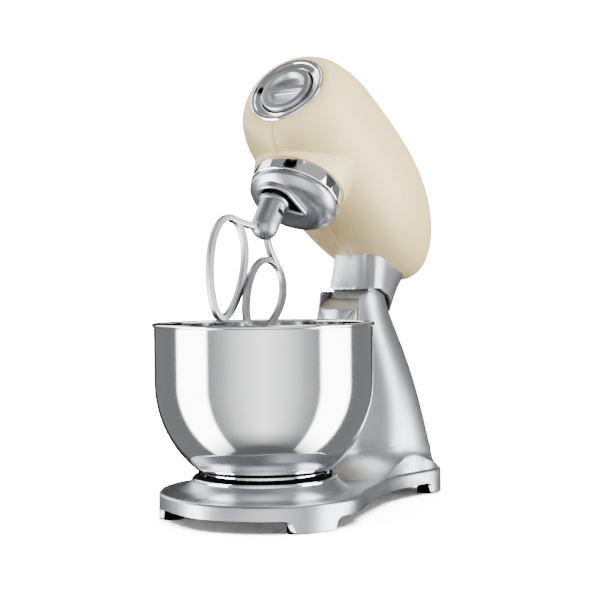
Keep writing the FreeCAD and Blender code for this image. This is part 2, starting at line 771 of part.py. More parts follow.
def bowl_foot():
    low = seat_floor_z() + BODY_GAP
    flange = low + FOOT_FLANGE_T
    foot = lathe([(FOOT_R - FOOT_WALL, low), (FOOT_FLANGE_R, low), (FOOT_FLANGE_R, flange),
                  (FOOT_R, flange), (FOOT_R, BOWL_FLOOR_Z), (FOOT_R - FOOT_WALL, BOWL_FLOOR_Z)])
    notches = []
    for index in range(BAYONET_COUNT):
        middle = 45 + BAYONET_TURN_DEG + 360 / BAYONET_COUNT * index
        notches.append(sector(FOOT_R, FOOT_FLANGE_R + 2, low - 1, flange + 1, middle, BAYONET_NOTCH_DEG))
    return foot.cut(notches)


# Head shells

def head_size(x):
    """Half width, top and bottom of the head at a station along X."""
    top = HEAD_TOP_Z - HEAD_TOP_FALL * ((x - HEAD_TOP_X) / 100) ** 2
    half = HEAD_HALF_W - HEAD_WIDE_FALL * ((x - HEAD_WIDE_X) / 100) ** 2
    low = HEAD_FLOOR_Z
    if x > NOSE_ROUND_X:
        share = (x - NOSE_ROUND_X) / (NOSE_X - NOSE_ROUND_X)
        swell = max(0, 1 - share ** NOSE_POWER) ** (1 / NOSE_POWER)
        top = NOSE_Z + NOSE_R + (top - NOSE_Z - NOSE_R) * swell
        low = NOSE_Z - NOSE_R + (low - NOSE_Z + NOSE_R) * swell
        half = NOSE_R + (half - NOSE_R) * swell
    if x < TAIL_ROUND_X:
        share = (TAIL_ROUND_X - x) / (TAIL_ROUND_X - HEAD_TAIL_X)
        swell = math.sqrt(max(0, 1 - share ** TAIL_POWER))
        top = HEAD_TAIL_Z + (top - HEAD_TAIL_Z) * swell
        low = HEAD_TAIL_Z + (low - HEAD_TAIL_Z) * swell
        half = half * swell
    return half, top, low


def head_half_section(x, inset):
    half, top, low = head_size(x)
    middle = (top + low) / 2
    points = []
    for step in range(13):
        y, z = superellipse(half - inset, (top - low) / 2 - inset, HEAD_POWER, step * 15 - 90)
        points.append(V(x, max(y, 0), middle + z))
    curve = Part.BSplineCurve()
    curve.interpolate(Points=points, InitialTangent=LEFT, FinalTangent=LEFT * -1)
    return Part.Wire([curve.toShape(), line(points[-1], points[0])])


def head_half(inset=0.0):
    """Left half of the head as a solid, or of its hollow when inset."""
    nose = [NOSE_X - (NOSE_X - NOSE_ROUND_X) * s ** 2 for s in (0.0, 0.22, 0.42, 0.62, 0.8, 1.0)]
    if inset:
        nose = nose[2:]
    crown = [-14.0, TAIL_ROUND_X + 10]
    tail = [TAIL_ROUND_X + (HEAD_TAIL_X - TAIL_ROUND_X) * math.sin(math.radians(a))
            for a in (14, 28, 42, 54, 64, 72, 79, 84.5)]
    wires = [head_half_section(x, inset) for x in nose + crown + tail]
    tip = Part.Vertex(V(HEAD_TAIL_X + inset, 0, HEAD_TAIL_Z))
    return Part.makeLoft(wires + [tip], True, False)


def head_boss_half():
    """Flare of the left shell from the planetary band up into the head."""
    flare = [V(r, 0, z) for r, z in BOSS_FLARE]
    inner_low = V(MOUTH_R - 1, 0, flare[0].z)
    inner_high = V(MOUTH_R - 1, 0, flare[-1].z)
    boss = revolve([line(inner_low, flare[0]), spline(flare), line(flare[-1], inner_high),
                    line(inner_high, inner_low)])
    return boss.common(block((-150, 150), (0, 150), (200, 400)))


def nose_pocket():
    """Round seat for the chrome ring and the outlet socket."""
    seat = cylinder(RING_R + FIT, NOSE_X - 9, NOSE_X + 20, FORWARD, V(0, 0, NOSE_Z))
    bore = cylinder(RING_BORE_R + 2.0, SOCKET_BACK_X - 2, NOSE_X, FORWARD, V(0, 0, NOSE_Z))
    return seat.fuse(bore)


def neck_hole():
    return block((ARM_X[0] - 3, ARM_X[1] + 3), (-EAR_SLOT / 2 + 1, EAR_SLOT / 2 - 1), (200, 275))


def trim_pocket():
    side = TRIM_HALF_W + FIT
    return block((TRIM_X[0] - FIT, TRIM_X[1] + FIT), (-side, side), (TRIM_TOP_Z - TRIM_T, 400))


def lever_slot():
    half = LEVER_STEM_HALF + BODY_GAP
    low = LEVER_OFF_X - LEVER_STEM_LENGTH / 2 - BODY_GAP
    high = LEVER_OFF_X + LEVER_TRAVEL + LEVER_STEM_LENGTH / 2 + BODY_GAP
    return block((low, high), (-half, half), (340, 400))


def head_shell_left():
    shell = head_half().fuse(head_boss_half())
    mouth = cylinder(MOUTH_R, 200, 275)
    seam = block((-300, 120), (-SEAM, SEAM / 2), (200, 420))
    shell = shell.cut([head_half(SHELL_WALL), mouth, nose_pocket(), neck_hole(), trim_pocket(),
                       lever_slot(), seam])
    return max(shell.Solids, key=lambda s: s.Volume)


# Neck collar

def collar_section(z, front, rear, half_width, inset=0.0):
    middle = (front + rear) / 2
    points = []
    for step in range(24):
        x, y = superellipse((front - rear) / 2 - inset, half_width - inset, COLLAR_POWER, step * 15)
        points.append(V(middle + x, y, z))
    return Part.Wire(spline(points, closed=True))


def collar_arch():
    """Hollow under the collar: round the ears, and opened towards the tail."""
    arch = cylinder(COLLAR_ARCH_R, -80, 80, LEFT, HINGE)
    tail = cylinder(COLLAR_ARCH_R, -80, 80, LEFT, HINGE + V(-COLLAR_TAIL_LIFT, 0, COLLAR_TAIL_LIFT))
    below = block((-300, 0), (-80, 80), (100, HINGE_Z + 16))
    return arch.multiFuse([tail, below])


def neck_collar():
    outer = Part.makeLoft([collar_section(*s) for s in COLLAR_SECTIONS], True, False)
    inner = Part.makeLoft([collar_section(*s, inset=SHELL_WALL) for s in COLLAR_SECTIONS], True, False)
    left_head = head_half()
    ring = outer.cut(inner).cut([left_head, mirrored(left_head), collar_arch()])
    return max(ring.Solids, key=lambda s: s.BoundBox.ZLength * s.Volume)


# Chassis and drive inside the head

def pedestal_plate(start):
    """Upright that carries one drive shaft bearing."""
    end = start + PEDESTAL_T
    half = PEDESTAL_HALF_W
    post = block((start, end), (-half, half), (PLATE_Z[0], NOSE_Z))
    return post.fuse(cylinder(half, start, end, FORWARD, V(0, 0, NOSE_Z)))


def motor_saddle(start):
    end = start + SADDLE_T
    post = block((start, end), (-PLATE_HALF_W, PLATE_HALF_W), (PLATE_Z[0], MOTOR_Z - MOTOR_R / 2))
    return post.cut(cylinder(MOTOR_R + FIT, start, end, FORWARD, V(0, 0, MOTOR_Z)))


def head_chassis():
    plate = block(PLATE_X, (-PLATE_HALF_W, PLATE_HALF_W), PLATE_Z)
    disc = cylinder(MOUTH_R - 0.3, GEAR_FLOOR_Z, PLATE_Z[0] + 1)
    tower = cylinder(TOWER_R, GEAR_FLOOR_Z, TOWER_TOP)
    arm = block(ARM_X, (-EAR_SLOT / 2 + 2.5, EAR_SLOT / 2 - 2.5), (HINGE_Z, PLATE_Z[1]))
    barrel = cylinder(BARREL_R, -EAR_SLOT / 2 + 1, EAR_SLOT / 2 - 1, LEFT, HINGE)
    front = pedestal_plate(FRONT_BEARING_X - 2)
    rear = pedestal_plate(REAR_BEARING_X - 2)
    saddles = [motor_saddle(x) for x in SADDLE_X]
    body = fuse([plate, disc, tower, arm, barrel, front, rear] + saddles)
    shaft_line = V(0, 0, NOSE_Z)
    bush_r = HINGE_PIN_R + RUN_FIT + BUSH_WALL
    lock_hole = cylinder(LOCK_PIN_R + BODY_GAP, -BARREL_R - 1, LOCK_PIN_ENTRY - BARREL_R, UP, HINGE)
    cuts = [lock_hole, cylinder(bush_r + FIT, -40, 40, LEFT, HINGE),
            cylinder(CENTRE_SHAFT_R + 1, 240, 300),
            cylinder(BEARING_R + FIT, LOW_BEARING_Z, LOW_BEARING_Z + BEARING_T),
            cylinder(BEARING_R - 2, LOW_BEARING_Z, TOWER_TOP),
            cylinder(BEARING_R + FIT, HIGH_BEARING_Z, TOWER_TOP + 1),
            cylinder(BEARING_R + FIT, GEAR_FLOOR_Z - 1, LOW_BEARING_Z + BEARING_T),
            cylinder(BEARING_R - 2, -70, 60, FORWARD, shaft_line),
            cylinder(BEARING_R + FIT, FRONT_BEARING_X, FRONT_BEARING_X + 20, FORWARD, shaft_line),
            cylinder(BEARING_R + FIT, REAR_BEARING_X, REAR_BEARING_X + 20, FORWARD, shaft_line)]
    return body.cut(cuts).removeSplitter()


def hinge_bushes():
    bush_r = HINGE_PIN_R + RUN_FIT
    low = EAR_SLOT / 2 - 1 - 12
    bush = tube(bush_r + BUSH_WALL, bush_r, low, EAR_SLOT / 2 - 1, LEFT, HINGE)
    return Part.makeCompound(both_sides(bush))


def shaft_bearings():
    line_x = V(0, 0, NOSE_Z)
    bore = DRIVE_SHAFT_R + RUN_FIT
    rings = [tube(BEARING_R, bore, start, start + BEARING_T, FORWARD, line_x)
             for start in (FRONT_BEARING_X, REAR_BEARING_X)]
    bore = CENTRE_SHAFT_R + RUN_FIT
    rings += [tube(BEARING_R, bore, start, start + BEARING_T)
              for start in (LOW_BEARING_Z, HIGH_BEARING_Z)]
    return Part.makeCompound(rings)


def ring_gear():
    outline = spur_outline(PLANET_MODULE, RING_TEETH, -BACKLASH, inside=True)
    height = RING_Z[1] - RING_Z[0]
    hole = prism([p + UP * RING_Z[0] for p in outline], UP * height)
    gear = cylinder(RING_OUTER_R, RING_Z[0], RING_Z[1]).cut(hole)
    planet_line = CARRIER_DEG
    return turned(gear, planet_line)


def planetary_band():
    inner = BAND_R - BAND_WALL
    return lathe([(inner, BAND_LOW_Z + 1.0), (BAND_R - 1.0, BAND_LOW_Z), (BAND_R, BAND_LOW_Z + 1.0),
                  (BAND_R, BOSS_Z - 0.6), (BAND_R - 0.6, BOSS_Z), (inner, BOSS_Z)])


def front_trim_ring():
    """Chrome funnel round the outlet, proud of the nose."""
    front = NOSE_X + RING_PROUD
    back = NOSE_X - 9
    profile = [(RING_BORE_R, back), (RING_R, back), (RING_R, front - 1.6), (RING_R - 1.4, front),
               (RING_R - 3.6, front), (RING_BORE_R + 1.2, NOSE_X - 2.6), (RING_BORE_R, NOSE_X - 3.4)]
    return lathe(profile, FORWARD, V(0, 0, NOSE_Z))


def outlet_socket():
    """Black cup behind the cover, round the drive shaft's square socket."""
    profile = [(SOCKET_BORE_R, SOCKET_BACK_X), (RING_BORE_R + 1.6, SOCKET_BACK_X),
               (RING_BORE_R + 1.6, NOSE_X - 9), (SOCKET_BORE_R, NOSE_X - 9)]
    return lathe(profile, FORWARD, V(0, 0, NOSE_Z))


def hub_cover():
    centre = V(0, 0, NOSE_Z)
    disc = cylinder(COVER_R, COVER_BACK_X, COVER_FACE_X, FORWARD, centre)
    rim = [e for e in disc.Edges if e.BoundBox.XMin > COVER_FACE_X - 0.1]
    disc = disc.makeFillet(1.2, rim)
    pocket = cylinder(POCKET_R, COVER_FACE_X - POCKET_DEPTH, COVER_FACE_X + 5, FORWARD, centre)
    bar = block((COVER_BACK_X, COVER_FACE_X + 6), (-POCKET_R, POCKET_R),
                (NOSE_Z - GRIP_HALF_W, NOSE_Z + GRIP_HALF_W))
    disc = disc.cut(pocket.cut(bar))
    spigot = cylinder(COVER_SPIGOT_R, COVER_SPIGOT_X, COVER_BACK_X, FORWARD, centre)
    return disc.fuse(spigot).removeSplitter()


def along_shaft(shape, x, height):
    """Lay a gear made along +Z onto the drive or motor shaft, from X forwards."""
    laid = turned(shape, 90, LEFT)
    laid.translate(V(x, 0, height))
    return laid


def bored(shape, radius, axis, centre):
    return shape.cut(cylinder(radius + FIT, -300, 400, axis, centre))


def drive_shaft():
    centre = V(0, 0, NOSE_Z)
    bar = cylinder(DRIVE_SHAFT_R, SPUR_X[0] - 2, DRIVE_HEAD_X, FORWARD, centre)
    head = cylinder(DRIVE_HEAD_R, DRIVE_HEAD_X, DRIVE_TIP_X, FORWARD, centre)
    half = DRIVE_SQUARE / 2
    square = block((DRIVE_TIP_X - DRIVE_SQUARE_DEPTH, DRIVE_TIP_X + 1), (-half, half),
                   (NOSE_Z - half, NOSE_Z + half))
    return bar.fuse(head).cut(square).removeSplitter()


def crown_depth():
    return BEVEL_MODULE * BEVEL_PINION_TEETH / 2


def crown_gear():
    """Bevel gear on the centre shaft, its apex on the drive shaft's axis."""
    teeth = bevel_gear(CROWN_TEETH, BEVEL_PINION_TEETH)
    teeth = turned(teeth, 180, FORWARD)
    teeth.translate(V(0, 0, NOSE_Z))
    pitch_z = NOSE_Z - crown_depth()
    web = cylinder(20, pitch_z - 4, pitch_z)
    hub = cylinder(11, TOWER_TOP + 0.5, pitch_z)
    return bored(fuse([teeth, web, hub]), CENTRE_SHAFT_R, UP, V(0, 0, 0))


def bevel_pinion():
    """Bevel pinion on the drive shaft, a tooth gap facing the crown gear."""
    teeth = bevel_gear(BEVEL_PINION_TEETH, CROWN_TEETH, math.pi / BEVEL_PINION_TEETH)
    teeth = turned(teeth, -90, LEFT)
    teeth.translate(V(0, 0, NOSE_Z))
    centre = V(0, 0, NOSE_Z)
    back = -BEVEL_MODULE * CROWN_TEETH / 2
    hub = cylinder(10, back - 8, back, FORWARD, centre)
    return bored(fuse([teeth, hub]), DRIVE_SHAFT_R, FORWARD, centre)


def drive_gear():
    gear = spur_gear(SPUR_MODULE, DRIVE_TEETH, SPUR_X[1] - SPUR_X[0])
    centre = V(0, 0, NOSE_Z)
    return bored(along_shaft(gear, SPUR_X[0], NOSE_Z), DRIVE_SHAFT_R, FORWARD, centre)


def motor_pinion():
    phase = math.pi / MOTOR_PINION_TEETH
    gear = spur_gear(SPUR_MODULE, MOTOR_PINION_TEETH, SPUR_X[1] - SPUR_X[0], phase)
    centre = V(0, 0, MOTOR_Z)
    return bored(along_shaft(gear, SPUR_X[0], MOTOR_Z), MOTOR_SHAFT_R, FORWARD, centre)


def motor_shaft():
    return cylinder(MOTOR_SHAFT_R, MOTOR_SHAFT_X[0], MOTOR_SHAFT_X[1], FORWARD, V(0, 0, MOTOR_Z))


def motor_stator():
    centre = V(0, 0, MOTOR_Z)
    ring = tube(MOTOR_R, MOTOR_BORE_R, MOTOR_X[0], MOTOR_X[1], FORWARD, centre)
    slots = []
    for side in (1, -1):
        slots.append(block((MOTOR_X[0] - 1, MOTOR_X[1] + 1), (-6, 6),
                           (MOTOR_Z + side * 21 - 2, MOTOR_Z + side * 21 + 2)))
    return ring.cut(slots)


def end_frames():
    """Two end plates with three legs each that reach the stator."""
    centre = V(0, 0, MOTOR_Z)
    frames = []
    for start, reach in ((FRONT_FRAME_X, (MOTOR_X[1], FRONT_FRAME_X)),
                         (REAR_FRAME_X, (REAR_FRAME_X + END_FRAME_T, MOTOR_X[0]))):
        plate = cylinder(MOTOR_R - 4, start, start + END_FRAME_T, FORWARD, centre)
        plate = plate.cut(cylinder(MOTOR_SHAFT_R + RUN_FIT, -300, 100, FORWARD, centre))
        legs = []
        for index in range(3):
            leg = block(reach, (-4, 4), (MOTOR_Z + MOTOR_R - 8, MOTOR_Z + MOTOR_R - 4))
            legs.append(turned(leg, 60 + 120 * index, FORWARD, centre))
        frames.append(fuse([plate] + legs))
    return Part.makeCompound(frames)


def armature():
    centre = V(0, 0, MOTOR_Z)
    core = cylinder(ARMATURE_R, MOTOR_X[0] + 2, MOTOR_X[1] - 2, FORWARD, centre)
    slot = block((MOTOR_X[0], MOTOR_X[1]), (-1.2, 1.2), (MOTOR_Z + 11, MOTOR_Z + 30))
    slots = [turned(slot, 30 * index, FORWARD, centre) for index in range(12)]
    return bored(core.cut(slots), MOTOR_SHAFT_R, FORWARD, centre)


def commutator():
    centre = V(0, 0, MOTOR_Z)
    return tube(COMMUTATOR_R, MOTOR_SHAFT_R + FIT, COMMUTATOR_X[0], COMMUTATOR_X[1], FORWARD, centre)


def brushes():
    middle = (COMMUTATOR_X[0] + COMMUTATOR_X[1]) / 2
    half = BRUSH_W / 2
    brush = block((REAR_FRAME_X + END_FRAME_T, middle + half),
                  (COMMUTATOR_R + 0.3, MOTOR_R - 6), (MOTOR_Z - half, MOTOR_Z + half))
    return Part.makeCompound(both_sides(brush))


def cooling_fan():
    centre = V(0, 0, MOTOR_Z)
    hub = cylinder(8, FAN_X[0], FAN_X[1], FORWARD, centre)
    disc = cylinder(FAN_R, FAN_X[1] - 1.5, FAN_X[1], FORWARD, centre)
    blade = block((FAN_X[0], FAN_X[1]), (-0.8, 0.8), (MOTOR_Z + 6, MOTOR_Z + FAN_R - 1))
    blades = [turned(blade, 360 / FAN_BLADES * index, FORWARD, centre) for index in range(FAN_BLADES)]
    return bored(fuse([hub, disc] + blades), MOTOR_SHAFT_R, FORWARD, centre)


def control_board():
    length, width, thick = BOARD
    plate = block((BOARD_X - length / 2, BOARD_X + length / 2), (-width / 2, width / 2),
                  (BOARD_Z, BOARD_Z + thick))
    posts = [cylinder(3, PLATE_Z[1], BOARD_Z, UP, V(BOARD_X + sx * 24, sy * 13, 0))
             for sx in (1, -1) for sy in (1, -1)]
    parts = [block((BOARD_X - 8, BOARD_X + 8), (-9, 9), (BOARD_Z + thick, BOARD_Z + 8)),
             cylinder(5, BOARD_Z + thick, BOARD_Z + 14, UP, V(BOARD_X + 20, 6, 0)),
             cylinder(5, BOARD_Z + thick, BOARD_Z + 14, UP, V(BOARD_X + 20, -6, 0))]
    clear = [block((x - 1, x + SADDLE_T + 1), (-40, 40), (BOARD_Z - 20, BOARD_Z + 40)) for x in SADDLE_X]
    board = fuse([plate] + posts + parts).cut(clear)
    return max(board.Solids, key=lambda s: s.Volume)


def lever_trim():
    plate = block(TRIM_X, (-TRIM_HALF_W, TRIM_HALF_W), (TRIM_TOP_Z - TRIM_T, TRIM_TOP_Z))
    corners = [e for e in plate.Edges if abs(e.BoundBox.ZLength - TRIM_T) < 0.01]
    plate = plate.makeFillet(TRIM_HALF_W - 1, corners)
    return plate.cut(lever_slot())


def speed_lever():
    length, width, height = LEVER_KNOB
    low = TRIM_TOP_Z + BODY_GAP
    knob = block((LEVER_OFF_X - length / 2, LEVER_OFF_X + length / 2), (-width / 2, width / 2),
                 (low, low + height))
    knob = knob.makeFillet(3.0, [e for e in knob.Edges if e.BoundBox.ZMax > low + height - 0.1])
    half = LEVER_STEM_LENGTH / 2
    side = LEVER_STEM_HALF
    stem = block((LEVER_OFF_X - half, LEVER_OFF_X + half), (-side, side),
                 (TRIM_TOP_Z - TRIM_T - 5, low + 1))
    foot = block((LEVER_OFF_X - half, LEVER_OFF_X + half), (-7, 7),
                 (TRIM_TOP_Z - TRIM_T - 8, TRIM_TOP_Z - TRIM_T - 4.6))
    return fuse([knob, stem, foot])


# Planetary and beater

def teardrop(inset, low, high):
    """Solid with a round end on the beater shaft and a pointed end beside it."""
    big = TEAR_R - inset
    small = TEAR_TIP_R - inset * 0.75
    turn = math.radians(CARRIER_DEG + TEAR_TIP_DEG)
    tip = ORBIT + V(math.cos(turn), math.sin(turn), 0) * TEAR_TIP_REACH
    spread = math.acos((big - small) / TEAR_TIP_REACH)
    corners = []
    for centre, radius, sign in ((ORBIT, big, 1), (tip, small, 1), (tip, small, -1), (ORBIT, big, -1)):
        angle = turn + sign * spread
        corners.append(centre + V(math.cos(angle), math.sin(angle), 0) * radius + UP * low)
    sides = prism(corners, UP * (high - low))
    return fuse([sides, cylinder(big, low, high, UP, ORBIT), cylinder(small, low, high, UP, tip)])


def planetary_housing():
    """Dished carrier: flat middle, round shoulder, and the raised wall about the shaft."""
    floor = DISH_FLOOR_Z
    flat = V(DISH_FLAT_R, 0, floor)
    edge = V(DISH_R, 0, DISH_TOP_Z - 4)
    shoulder = V(DISH_R - 5.2, 0, floor + 4.4)
    rim = V(DISH_R, 0, DISH_TOP_Z)
    pocket_r = DISH_R - DISH_WALL - 2
    pocket = [V(pocket_r, 0, DISH_TOP_Z), V(pocket_r - 6, 0, floor + DISH_WALL + 1.5),
              V(0, 0, floor + DISH_WALL + 1.5)]
    dish = revolve([line(V(0, 0, floor), flat), arc(flat, shoulder, edge), line(edge, rim),
                    line(rim, pocket[0]), line(pocket[0], pocket[1]), line(pocket[1], pocket[2]),
                    line(pocket[2], V(0, 0, floor))])
    wall = teardrop(0, TEAR_LOW_Z, floor + DISH_WALL)
    recess = teardrop(TEAR_WALL, TEAR_LOW_Z, floor + TEAR_RECESS)
    centre_hub = cylinder(10, floor + DISH_WALL, PLANET_Z[0] - 1)
    shaft_hub = cylinder(BEATER_SHAFT_R + BUSH_WALL + 3, floor + TEAR_RECESS, PLANET_Z[0] - 1,
                         UP, ORBIT)
    body = fuse([dish, wall]).cut(recess)
    body = fuse([body, centre_hub, shaft_hub])
    bush_hole = cylinder(BEATER_SHAFT_R + RUN_FIT + BUSH_WALL + FIT, 150, 300, UP, ORBIT)
    shaft_hole = cylinder(CENTRE_SHAFT_R + FIT, floor + DISH_WALL, 300)
    return body.cut([bush_hole, shaft_hole])


def beater_bush():
    inner = BEATER_SHAFT_R + RUN_FIT
    low = DISH_FLOOR_Z + TEAR_RECESS
    return tube(inner + BUSH_WALL, inner, low, PLANET_Z[0] - 0.5, UP, ORBIT)


def centre_shaft():
    return cylinder(CENTRE_SHAFT_R, DISH_FLOOR_Z + DISH_WALL, CENTRE_SHAFT_TOP)


def beater_shaft():
    shaft = cylinder(BEATER_SHAFT_R, BEATER_SHAFT_LOW, PLANET_Z[1] + 1, UP, ORBIT)
    return shaft.cut(beater_pin())


def planet_pinion():
    """Pinion on the beater shaft, its tooth facing the ring gear's gap."""
    gear = spur_gear(PLANET_MODULE, PLANET_TEETH, PLANET_Z[1] - PLANET_Z[0])
    gear = turned(gear, CARRIER_DEG)
    gear.translate(ORBIT + UP * PLANET_Z[0])
    return bored(gear, BEATER_SHAFT_R, UP, ORBIT)


def beater_pin():
    turn = math.radians(BEATER_DEG + 90)
    across = V(math.cos(turn), math.sin(turn), 0)
    return cylinder(PIN_R, -PIN_HALF, PIN_HALF, across, ORBIT + UP * PIN_Z)


def hub_slots():
    """Bayonet slots for the cross pin: entry from the top, turn, and locking leg."""
    low = PIN_Z - PIN_R - BEATER_PUSH - BODY_GAP
    half = PIN_R + BODY_GAP
    reach = HUB_FLANGE_R + 4
    cuts = []
    for side in (90, 270):
        leg = block((0, reach), (-half, half), (low, PIN_Z + PIN_R + 0.1))
        entry = block((0, reach), (-half, half), (low, HUB_TOP_Z + 5))
        path = sector(1, reach, low, low + 2 * half, SLOT_TURN_DEG / 2, SLOT_TURN_DEG)
        cuts += [turned(piece, side) for piece in (leg, turned(entry, SLOT_TURN_DEG), path)]
    return cuts


def loop_middle():
    """Leaning egg-shaped oval down the middle of one loop's ribbon."""
    lean = math.radians(LOOP_LEAN_DEG)
    points = []
    for step in range(LOOP_STEPS):
        angle = 2 * math.pi * step / LOOP_STEPS
        across = LOOP_HALF[0] * math.cos(angle) * (1 + LOOP_EGG * math.sin(angle))
        along = LOOP_HALF[1] * math.sin(angle)
        points.append(V(LOOP_CENTRE[0] + across * math.cos(lean) + along * math.sin(lean), -RIBBON_W / 2,
                        LOOP_CENTRE[1] - across * math.sin(lean) + along * math.cos(lean)))
    return spline(points, closed=True)


def ribbon_loop():
    """Closed flat bar that follows the leaning oval."""
    middle = loop_middle()
    solids = []
    for distance in (RIBBON_T / 2, -RIBBON_T / 2):
        side = spline(beside(middle, distance, LEFT, LOOP_STEPS), closed=True)
        solids.append(Part.Face(Part.Wire(side)).extrude(LEFT * RIBBON_W))
    solids.sort(key=lambda solid: solid.Volume)
    return solids[1].cut(solids[0])


def beater_side(pitch):
    """One twisted loop and the arm that carries it."""
    loop = turned(ribbon_loop(), pitch, FORWARD, V(0, 0, LOOP_PITCH_Z))
    slope = math.tan(math.radians(pitch))
    points = []
    for share, (x, z) in zip((0, 0.5, 1), ARM_POINTS):
        points.append(V(x, share * slope * (LOOP_PITCH_Z - z), z))
    return [loop, bar_between(points)]


def flat_beater():
    """Hub with two loops side by side, each twisted a little more than the last."""
    hub = fuse([cylinder(HUB_R, HUB_BALL_Z, HUB_TOP_Z), Part.makeSphere(HUB_R, V(0, 0, HUB_BALL_Z)),
                cylinder(HUB_FLANGE_R, HUB_TOP_Z - HUB_FLANGE_T, HUB_TOP_Z)])
    near, far = [beater_side(pitch) for pitch in LOOP_PITCH_DEG]
    far = [s.mirror(V(0, 0, 0), FORWARD) for s in far]
    body = fuse([hub] + near + far)
    bore = cylinder(BEATER_SHAFT_R + RUN_FIT, HUB_BORE_FLOOR - BEATER_PUSH - 1, HUB_TOP_Z + 1)
    body = body.cut([bore] + hub_slots()).removeSplitter()
    body.rotate(V(0, 0, 0), UP, BEATER_DEG)
    body.translate(ORBIT)
    return body


def bar_between(points):
    """Bar of the ribbon's section through three points."""
    run = (points[2] - points[0]).normalize()
    side = V(-run.z, 0, run.x) * (RIBBON_T / 2)
    wide = LEFT * (RIBBON_W / 2)
    sections = []
    for place in points:
        sections.append(polygon([place + side + wide, place + side - wide,
                                 place - side - wide, place - side + wide]))
    return Part.makeLoft(sections, True, True)


BASE_NODES = {
    "base_casting": base_casting, "base_cover": base_cover, "base_cover_screws": cover_screws,
    "rubber_feet": rubber_feet, "bowl_seat_ring": bowl_seat_ring, "seat_screws": seat_screws,
    "hinge_pin": hinge_pin, "cord_gland": cord_gland, "release_button": release_button,
    "lock_pin": lock_pin, "bowl": bowl, "bowl_foot": bowl_foot,
}
HEAD_NODES = {
    "head_shell_left": head_shell_left, "neck_collar": neck_collar,
    "head_chassis": head_chassis, "hinge_bushes": hinge_bushes,
    "shaft_bearings": shaft_bearings, "ring_gear": ring_gear, "planetary_band": planetary_band,
    "front_trim_ring": front_trim_ring, "outlet_socket": outlet_socket, "hub_cover": hub_cover,
    "drive_shaft": drive_shaft, "bevel_pinion": bevel_pinion, "drive_gear": drive_gear,
    "motor_pinion": motor_pinion, "motor_shaft": motor_shaft, "motor_stator": motor_stator,
    "motor_end_frames": end_frames, "armature": armature, "commutator": commutator,
    "motor_brushes": brushes, "cooling_fan": cooling_fan, "control_board": control_board,
    "lever_trim": lever_trim, "speed_lever": speed_lever, "planetary_housing": planetary_housing,
    "centre_shaft": centre_shaft, "crown_gear": crown_gear, "beater_bush": beater_bush,
    "beater_shaft": beater_shaft, "planet_pinion": planet_pinion, "beater_pin": beater_pin,
    "flat_beater": flat_beater,
}


def build():
    shapes = {name: make() for name, make in BASE_NODES.items()}
    shapes.update({name: raised(make()) for name, make in HEAD_NODES.items()})
    shapes["head_shell_right"] = mirrored(shapes["head_shell_left"])
    box = Part.makeCompound(list(shapes.values())).optimalBoundingBox(False)
    shift = -(box.XMin + box.XMax) / 2
    os.makedirs("parts", exist_ok=True)
    for name, shape in shapes.items():
        shape.translate(V(shift, 0, 0))
        shape.exportStep(f"parts/{name}.step")
    print("bowl axis X", round(shift, 4), "box", [round(v, 3) for v in
          (box.XMin + shift, box.XMax + shift, box.YMin, box.YMax, box.ZMin, box.ZMax)])
    return shapes


build()
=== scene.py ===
import json
import math

import bmesh
import bpy
from mathutils import Matrix, Vector

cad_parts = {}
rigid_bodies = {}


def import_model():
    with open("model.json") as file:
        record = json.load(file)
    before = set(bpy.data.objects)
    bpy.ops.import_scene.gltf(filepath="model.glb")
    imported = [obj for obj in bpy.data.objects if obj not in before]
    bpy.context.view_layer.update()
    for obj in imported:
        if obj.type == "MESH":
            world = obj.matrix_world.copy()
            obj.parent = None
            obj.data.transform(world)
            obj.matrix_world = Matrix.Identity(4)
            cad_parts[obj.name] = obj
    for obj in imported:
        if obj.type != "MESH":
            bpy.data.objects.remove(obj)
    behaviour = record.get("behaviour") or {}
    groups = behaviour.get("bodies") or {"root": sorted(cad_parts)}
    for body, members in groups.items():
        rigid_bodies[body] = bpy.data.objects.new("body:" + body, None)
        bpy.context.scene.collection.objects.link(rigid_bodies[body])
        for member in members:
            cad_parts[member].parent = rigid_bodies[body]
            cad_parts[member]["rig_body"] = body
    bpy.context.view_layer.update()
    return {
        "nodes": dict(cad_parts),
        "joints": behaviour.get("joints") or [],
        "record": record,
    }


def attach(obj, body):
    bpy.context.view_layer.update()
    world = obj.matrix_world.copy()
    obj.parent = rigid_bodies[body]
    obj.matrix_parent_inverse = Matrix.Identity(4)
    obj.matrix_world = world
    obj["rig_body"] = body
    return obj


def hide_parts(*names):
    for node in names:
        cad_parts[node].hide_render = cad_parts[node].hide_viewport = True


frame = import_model()

# Looks for the CAD pieces, new skins for the outer forms, and a white studio with the photo's camera.
# Skins are drawn in millimetres from the bowl's axis with the head down, then moved into place.

JOINTS = {j["name"]: j for j in frame["joints"]}
MM = 0.001
BOWL_X = JOINTS["bowl_twist"]["pos_m"][0]
HINGE = Vector(JOINTS["head_tilt"]["pos_m"])
TILT = math.radians(JOINTS["head_tilt"]["range_deg"][1])
RAISE = Matrix.Translation(HINGE) @ Matrix.Rotation(-TILT, 4, "Y") @ Matrix.Translation(-HINGE)
STAND = Matrix.Translation((BOWL_X, 0, 0)) @ Matrix.Scale(MM, 4)
HEAD = RAISE @ STAND


# Shading

SOFT_END = 0.01        # half the width of a window's soft end
EVEN = (1, 1, 1)


class Field:
    """A value that a shader works out at each point of a surface."""

    def __init__(self, look, socket):
        self.look = look
        self.socket = socket

    def math(self, operation, other):
        return self.look.node("ShaderNodeMath", {"operation": operation}, {0: self, 1: other})

    def __add__(self, other):
        return self.math("ADD", other)

    def __mul__(self, other):
        return self.math("MULTIPLY", other)


